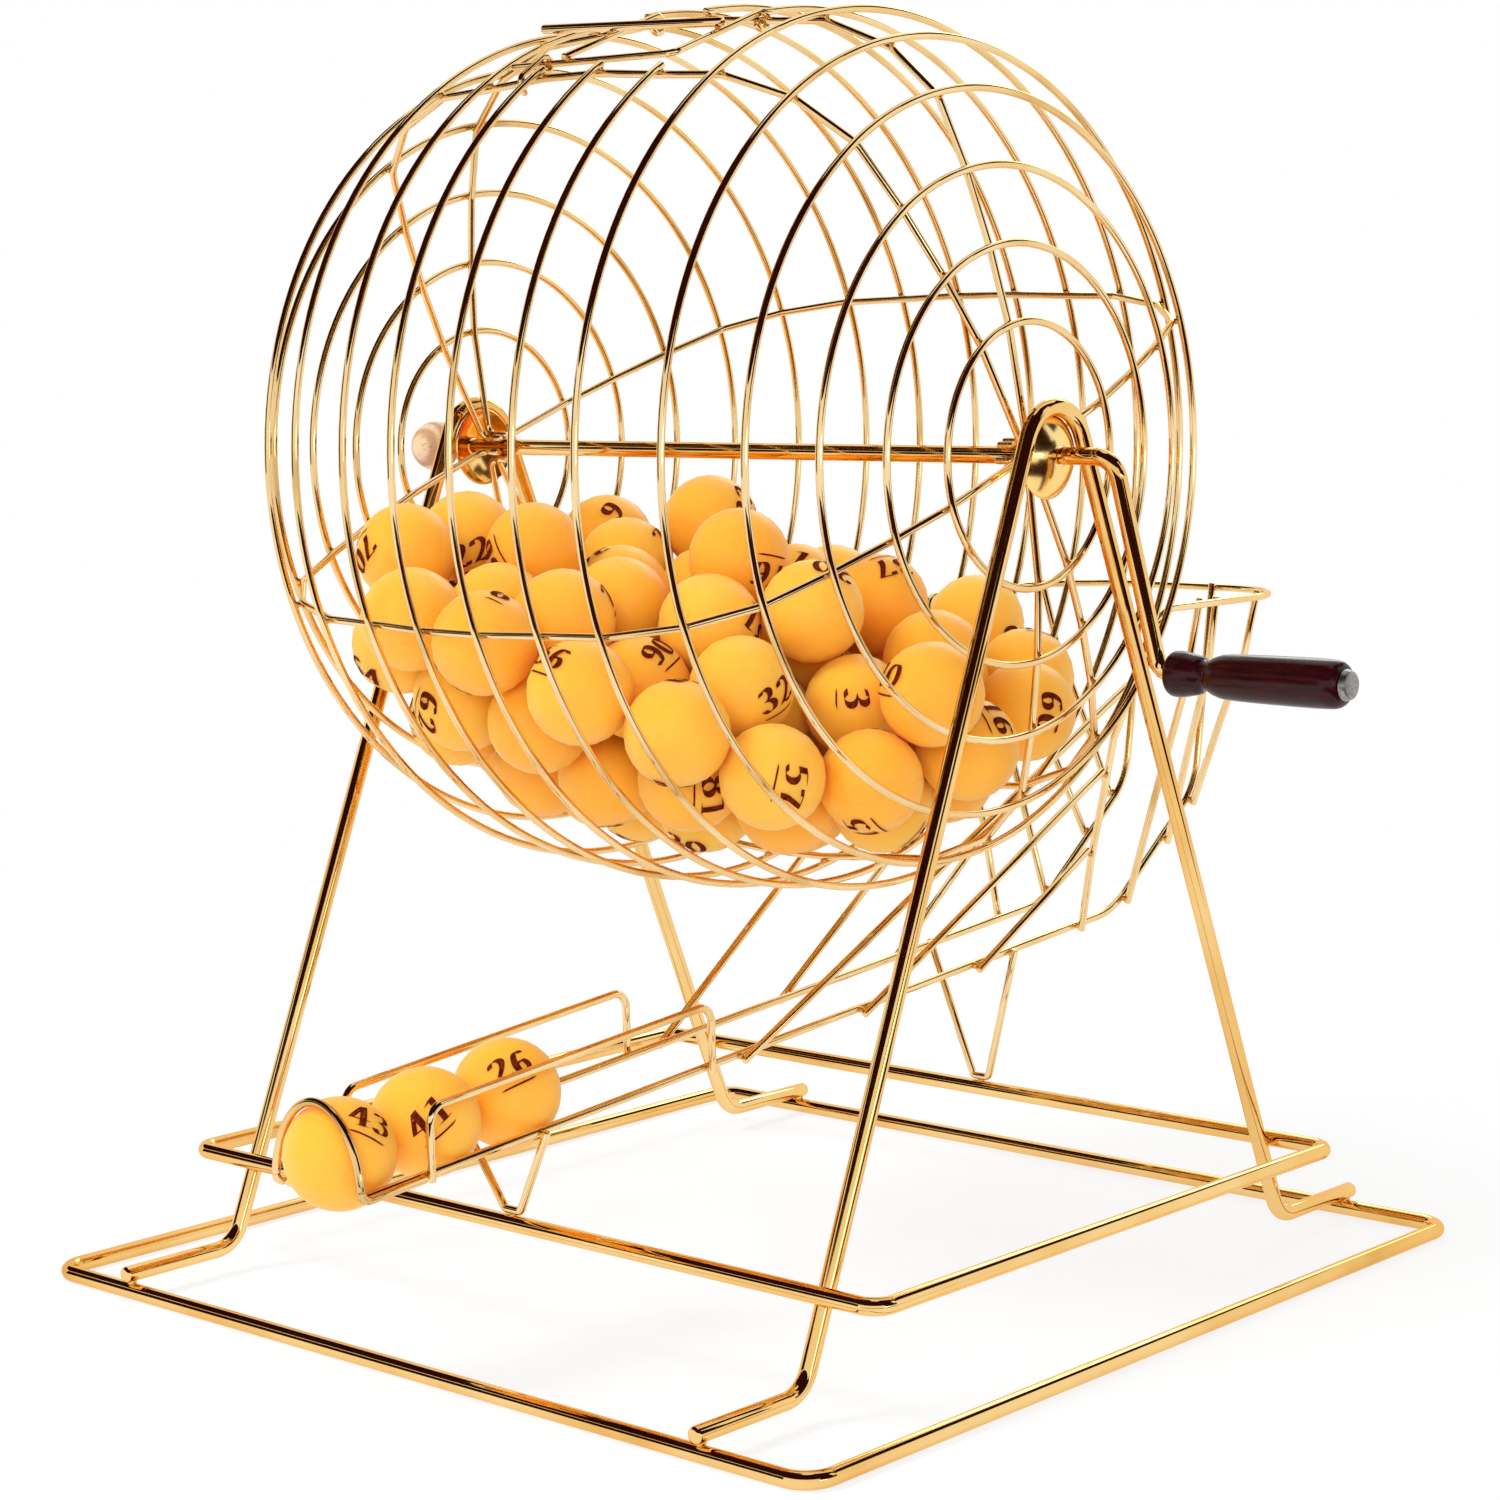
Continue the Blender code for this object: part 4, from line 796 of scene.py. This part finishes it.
# numbers drawn with a broad nib in a box 100 high: a stroke is a line between two places, a
# curve through more of them, or a round (x, y, half width, half height)
digits = {
    "0": [(30, 50, 24, 47)],
    "1": [((32, 97), (32, 3)), ((10, 83), (32, 97)), ((12, 3), (52, 3))],
    "2": [((10, 74), (14, 90), (30, 97), (47, 87), (48, 68), (34, 42), (14, 16), (6, 5)),
          ((6, 5), (22, 10), (38, 2), (50, 6), (54, 20))],
    "3": [((10, 80), (18, 94), (34, 96), (45, 82), (40, 62), (24, 53)),
          ((24, 53), (43, 47), (51, 28), (42, 8), (22, 3), (8, 16))],
    "4": [((42, 97), (42, 3)), ((42, 97), (5, 30)), ((5, 30), (58, 30)), ((28, 3), (55, 3))],
    "5": [((14, 95), (50, 95)), ((15, 95), (13, 56)),
          ((13, 56), (28, 63), (46, 52), (50, 30), (40, 8), (22, 3), (8, 14))],
    "6": [((47, 86), (36, 97), (20, 84), (10, 50), (14, 14), (30, 2), (46, 14), (48, 38), (32, 54),
           (14, 40))],
    "7": [((8, 94), (54, 94)), ((8, 94), (8, 78)), ((54, 94), (40, 62), (29, 32), (27, 3))],
    "8": [(30, 75, 18, 21), (30, 28, 23, 26)],
    "9": [((13, 14), (24, 3), (40, 16), (50, 50), (46, 86), (30, 98), (14, 86), (12, 62), (28, 46),
           (46, 60))],
}
printing = {
    "height": 0.0098, "widen": 1.25, "middle": (30, 50), "nib": 0.0026, "nibTurn": 11, "spacing": 0.0088,
    "lift": 0.00004, "layer": 0.000004, "lineDrop": 0.0028, "lineWidth": 0.0003, "lineHalf": (0.0032, 0.0038),
}


def strokePath(stroke):
    if len(stroke) == 2:
        start, end = (Vector(place) for place in stroke)
        return spread(start, end, 8)
    if not isinstance(stroke[0], tuple):
        x, y, rx, ry = stroke
        return [Vector((x + rx * math.cos(angle), y + ry * math.sin(angle)))
                for angle in spread(0, math.tau, 28)]
    points = [Vector(place) for place in stroke]
    points = [points[0] * 2 - points[1]] + points + [points[-1] * 2 - points[-2]]
    path = []
    for a, b, c, d in zip(points, points[1:], points[2:], points[3:]):
        for t in spread(0, 1, 5)[:-1]:
            square, cube = a * 2 - b * 5 + c * 4 - d, b * 3 - a - c * 3 + d
            path.append((b * 2 + (c - a) * t + square * t * t + cube * t ** 3) / 2)
    path.append(points[-2])
    return path


def drawNumber(number):
    # sweeps the nib along every stroke, flat, one stroke a hair above the one before
    text = str(number)
    strokes = []
    unit = printing["height"] / 100
    for index, digit in enumerate(text):
        shiftX = (index - (len(text) - 1) / 2) * printing["spacing"]
        for stroke in digits[digit]:
            strokes.append([Vector(((place.x - printing["middle"][0]) * unit * printing["widen"] + shiftX,
                                    (place.y - printing["middle"][1]) * unit)) for place in strokePath(stroke)])
    lineHalf = printing["lineHalf"][0] + printing["lineHalf"][1] * (len(text) - 1)
    lineY = -printing["height"] / 2 - printing["lineDrop"]
    for lower in (0, printing["lineWidth"]):
        strokes.append([Vector((x, lineY - lower)) for x in spread(-lineHalf, lineHalf, 10)])
    turn = math.radians(printing["nibTurn"])
    nib = Vector((math.cos(turn), math.sin(turn))) * printing["nib"] / 2
    shape = bmesh.new()
    for order, stroke in enumerate(strokes):
        height = printing["lift"] + order * printing["layer"]
        ends = [shape.verts.new((*(stroke[0] + nib * sign), height)) for sign in (-1, 1)]
        edge = shape.edges.new(ends)
        for before, after in zip(stroke, stroke[1:]):
            made = bmesh.ops.extrude_edge_only(shape, edges=[edge])["geom"]
            edge = [item for item in made if isinstance(item, bmesh.types.BMEdge)][0]
            bmesh.ops.translate(shape, verts=edge.verts[:], vec=(*(after - before), 0))
    for face in shape.faces:
        face.normal_update()
    bmesh.ops.reverse_faces(shape, faces=[face for face in shape.faces if face.normal.z < 0])
    return meshFrom(shape, "number" + text, False)


numberShapes = {}


def printNumber(shape, number, centre, radius, facing, upward):
    # wraps a flat number on the ball
    if number not in numberShapes:
        numberShapes[number] = drawNumber(number)
    across = upward.cross(facing).normalized()
    upward = facing.cross(across).normalized()
    known = len(shape.verts)
    shape.from_mesh(numberShapes[number])
    shape.verts.ensure_lookup_table()
    for vert in shape.verts[known:]:
        flat = vert.co.copy()
        way = (facing * radius + across * flat.x + upward * flat.y).normalized()
        vert.co = centre + way * (radius + flat.z)


def ballPiece(name, centres, radius, body, node, turns, detail):
    # each vertex keeps its place in its ball, for the seam, and its ball's shade
    shape = bmesh.new()
    shape.verts.layers.float_vector.new("ballSpace")
    toneLayer = shape.verts.layers.float.new("ballTone")
    spaceLayer = shape.verts.layers.float_vector["ballSpace"]  # the second layer moved the first
    for centre, turn in zip(centres, turns):
        made = bmesh.ops.create_icosphere(shape, subdivisions=detail, radius=radius)["verts"]
        tone = random.random()
        for vert in made:
            vert[spaceLayer] = turn @ vert.co
            vert[toneLayer] = tone
        bmesh.ops.translate(shape, verts=made, vec=centre)
    addPiece(name, meshFrom(shape, name), orangePlastic, "orange_ball", body, node)


def numberPiece(name, prints, radius, body):
    shape = bmesh.new()
    for number, centre, facing, upward in prints:
        printNumber(shape, number, centre, radius, facing, upward)
    addPiece(name, meshFrom(shape, name), ink, "orange_ball", body)


# camera axes: they also turn the called balls' numbers as in the photo
view = {
    "place": Vector((0.828394, -0.915890, 0.349663)) - middle,
    "right": Vector((0.74308186, 0.66895212, -0.01823185)),
    "down": Vector((0.07103683, -0.10594048, -0.99183183)),
    "ahead": Vector((-0.6654195, 0.73571711, -0.12624269)),
    "focalPx": 3359.28, "framePx": 1500, "sensorMm": 36,
}

random.seed(12)
centres = [Vector(centre) - middle for centre in heapCentres()]
turns = []
prints = []
order = list(range(1, 91))
random.shuffle(order)
for index, centre in enumerate(centres):
    turn = Matrix.Rotation(random.uniform(0, math.tau), 3, "Z")
    turns.append(turn @ Matrix.Rotation(math.acos(random.uniform(-1, 1)), 3, "X"))
    facing = Vector([random.gauss(0, 1) for _ in range(3)]).normalized()
    upward = Vector([random.gauss(0, 1) for _ in range(3)]).normalized()
    prints.append((order[index], centre, facing, upward))
    prints.append((order[index], centre, -facing, upward))
ballPiece("heapBalls", centres, balls["heapRadius"], "stand", "ball_heap", turns, 3)
numberPiece("heapNumbers", prints, balls["heapRadius"], "stand")
print("heap made")

called = {  # number, how far right and up of the ball's middle it faces, roll in degrees
    1: (43, 0.60, 0.66, -38), 2: (41, 0.14, 0.20, 40), 3: (26, 0.12, 0.57, 27),
}
for index, (number, toRight, toUp, roll) in called.items():
    low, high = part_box(f"called_ball_{index}")
    centre = (Vector(low) + Vector(high)) / 2
    toCamera = math.sqrt(1 - toRight ** 2 - toUp ** 2)
    facing = (view["right"] * toRight - view["down"] * toUp - view["ahead"] * toCamera).normalized()
    upward = Matrix.Rotation(math.radians(roll), 3, facing) @ -view["down"]
    turn = Matrix.Rotation(index * 1.1, 3, "X") @ Matrix.Rotation(index * 0.7, 3, "Y")  # of the seam
    body = f"ball_{index}"
    ballPiece(f"calledBall{index}", [centre], balls["radius"], body, "called_" + body, [turn], 4)
    prints = [(number, centre, facing, upward), (number, centre, -facing, upward)]
    numberPiece(f"calledNumber{index}", prints, balls["radius"], body)
print("called balls made")


# floor, background, lamps and camera

studio = {"floorSize": 14.0, "floorColour": "#F7F7F7", "glow": 0.76, "fade": (0.35, 1.1), "worldLevel": 0.75}


def cameraRays(tree):
    # 1 where a ray comes from the camera, a mirror or glass
    path = addNode(tree, "LightPath")
    both = addNode(tree, "Math", {"operation": "MAXIMUM"},
                   {0: (path, "Is Camera Ray"), 1: (path, "Is Glossy Ray")})
    return addNode(tree, "Math", {"operation": "MAXIMUM"},
                   {0: (both, "Value"), 1: (path, "Is Transmission Ray")})


world = bpy.data.worlds.new("whiteStudio")
world.use_nodes = True
bpy.context.scene.world = world
tree = world.node_tree
background = tree.nodes["Background"]
background.inputs["Color"].default_value = (1, 1, 1, 1)
background.inputs["Strength"].default_value = studio["worldLevel"]
white = addNode(tree, "Background", {"Color": (1, 1, 1, 1), "Strength": 1.0})
mix = addNode(tree, "MixShader", links={
    0: (cameraRays(tree), "Value"), 1: (background, "Background"), 2: (white, "Background"),
})
linkNodes(tree, tree.nodes["World Output"], {"Surface": (mix, "Shader")})

shape = bmesh.new()
bmesh.ops.create_circle(shape, cap_ends=True, segments=96, radius=studio["floorSize"] / 2)
mesh = meshFrom(shape, "floor", False)
addObject("floor", mesh)
material, tree, shader, onPiece = newMaterial("palePaper", {
    "Base Color": linearColour(studio["floorColour"]), "Roughness": 0.9, "Specular IOR Level": 0.0,
})
mesh.materials.append(material)
glow = addNode(tree, "Emission", {"Color": (1, 1, 1, 1), "Strength": 1.0})
far = addNode(tree, "VectorMath", {"operation": "LENGTH"}, onPiece)
fade = addNode(tree, "MapRange", {
    "From Min": studio["fade"][0], "From Max": studio["fade"][1], "To Min": studio["glow"], "To Max": 1.0,
}, {"Value": (far, "Value")})
share = addNode(tree, "Math", {"operation": "MULTIPLY"}, {0: (cameraRays(tree), "Value"), 1: (fade, "Result")})
mix = addNode(tree, "MixShader", links={
    0: (share, "Value"), 1: (shader, "BSDF"), 2: (glow, "Emission"),
})
linkNodes(tree, tree.nodes["Material Output"], {"Surface": (mix, "Shader")})

lamps = (  # name, place, what it points at, size, power, seen in the metal
    ("keyLamp", (-0.92, -1.31, 1.98), (0, 0, 0.2), (0.6, 0.6), 27, False),
    ("frontLamp", (1.5, -2.15, 0.9), (0, 0, 0.25), (1.3, 0.7), 25, False),
    ("stripLamp", (2.5, -0.35, 0.34), (0, 0, 0.25), (0.9, 0.18), 1.8, True),
    ("backLamp", (-0.6, 1.5, 1.2), (0, 0, 0.25), (1.0, 0.6), 6, True),
)
for name, place, target, size, power, mirrored in lamps:
    lamp = bpy.data.lights.new(name, "AREA")
    lamp.shape = "RECTANGLE"
    lamp.size, lamp.size_y = size
    lamp.energy = power
    holder = addObject(name, lamp)
    holder.location = place
    holder.rotation_euler = (Vector(target) - Vector(place)).to_track_quat("-Z", "Y").to_euler()
    holder.visible_camera = False
    holder.visible_glossy = mirrored

# dark cloth of the studio, seen by the polished metal alone: overhead in front, at both sides
# of a bright gap behind the camera, and on the floor in front
cloth = {
    "colour": "#2C110A", "radius": 3.2, "middleZ": 0.25, "towards": -48, "floorZ": 0.003,
    "panels": (  # from and to: degrees round from towards, degrees up
        (-150, 76, 21, 46), (-150, 112, 46, 80), (90, 136, 30, 46), (-104, -64, -4, 17), (32, 84, 5, 21),
    ),
    "floor": ((0.5, 1.5, -40, 76), (1.5, 3.1, 40, 76)),  # near, far, from and to
}
flagCloth = newMaterial("flagCloth", {
    "Base Color": linearColour(cloth["colour"]), "Roughness": 1.0, "Specular IOR Level": 0.0,
})[0]
shape = bmesh.new()
bmesh.ops.create_uvsphere(shape, u_segments=120, v_segments=60, radius=cloth["radius"])
spare = []
for face in shape.faces:
    place = face.calc_center_median()
    turn = (math.degrees(math.atan2(place.y, place.x)) - cloth["towards"] + 180) % 360 - 180
    height = math.degrees(math.asin(place.z / place.length))
    if not any(a < turn < b and c < height < d for a, b, c, d in cloth["panels"]):
        spare.append(face)
bmesh.ops.delete(shape, geom=spare, context="FACES")
bmesh.ops.translate(shape, verts=shape.verts, vec=(0, 0, cloth["middleZ"]))
for near, far, start, stop in cloth["floor"]:
    turn = math.radians(cloth["towards"] + start)
    ends = [shape.verts.new((math.cos(turn) * reach, math.sin(turn) * reach, cloth["floorZ"]))
            for reach in (near, far)]
    bmesh.ops.spin(shape, geom=[*ends, shape.edges.new(ends)], cent=(0, 0, 0), axis=(0, 0, 1),
                   angle=math.radians(stop - start), steps=24)
mesh = meshFrom(shape, "blackCloth", False)
mesh.materials.append(flagCloth)
drape = addObject("blackCloth", mesh)
drape.visible_camera = False
drape.visible_diffuse = False
drape.visible_shadow = False
drape.visible_transmission = False

lens = bpy.data.cameras.new("photoCamera")
lens.sensor_width = view["sensorMm"]
lens.sensor_fit = "HORIZONTAL"
lens.lens = view["focalPx"] / view["framePx"] * view["sensorMm"]
lens.clip_start = 0.05
camera = addObject("photoCamera", lens)
rotation = Matrix((view["right"], -view["down"], -view["ahead"])).transposed()
camera.matrix_world = Matrix.Translation(view["place"]) @ rotation.to_4x4()
bpy.context.scene.camera = camera
bpy.context.scene.view_settings.view_transform = "Standard"

print("scene made")
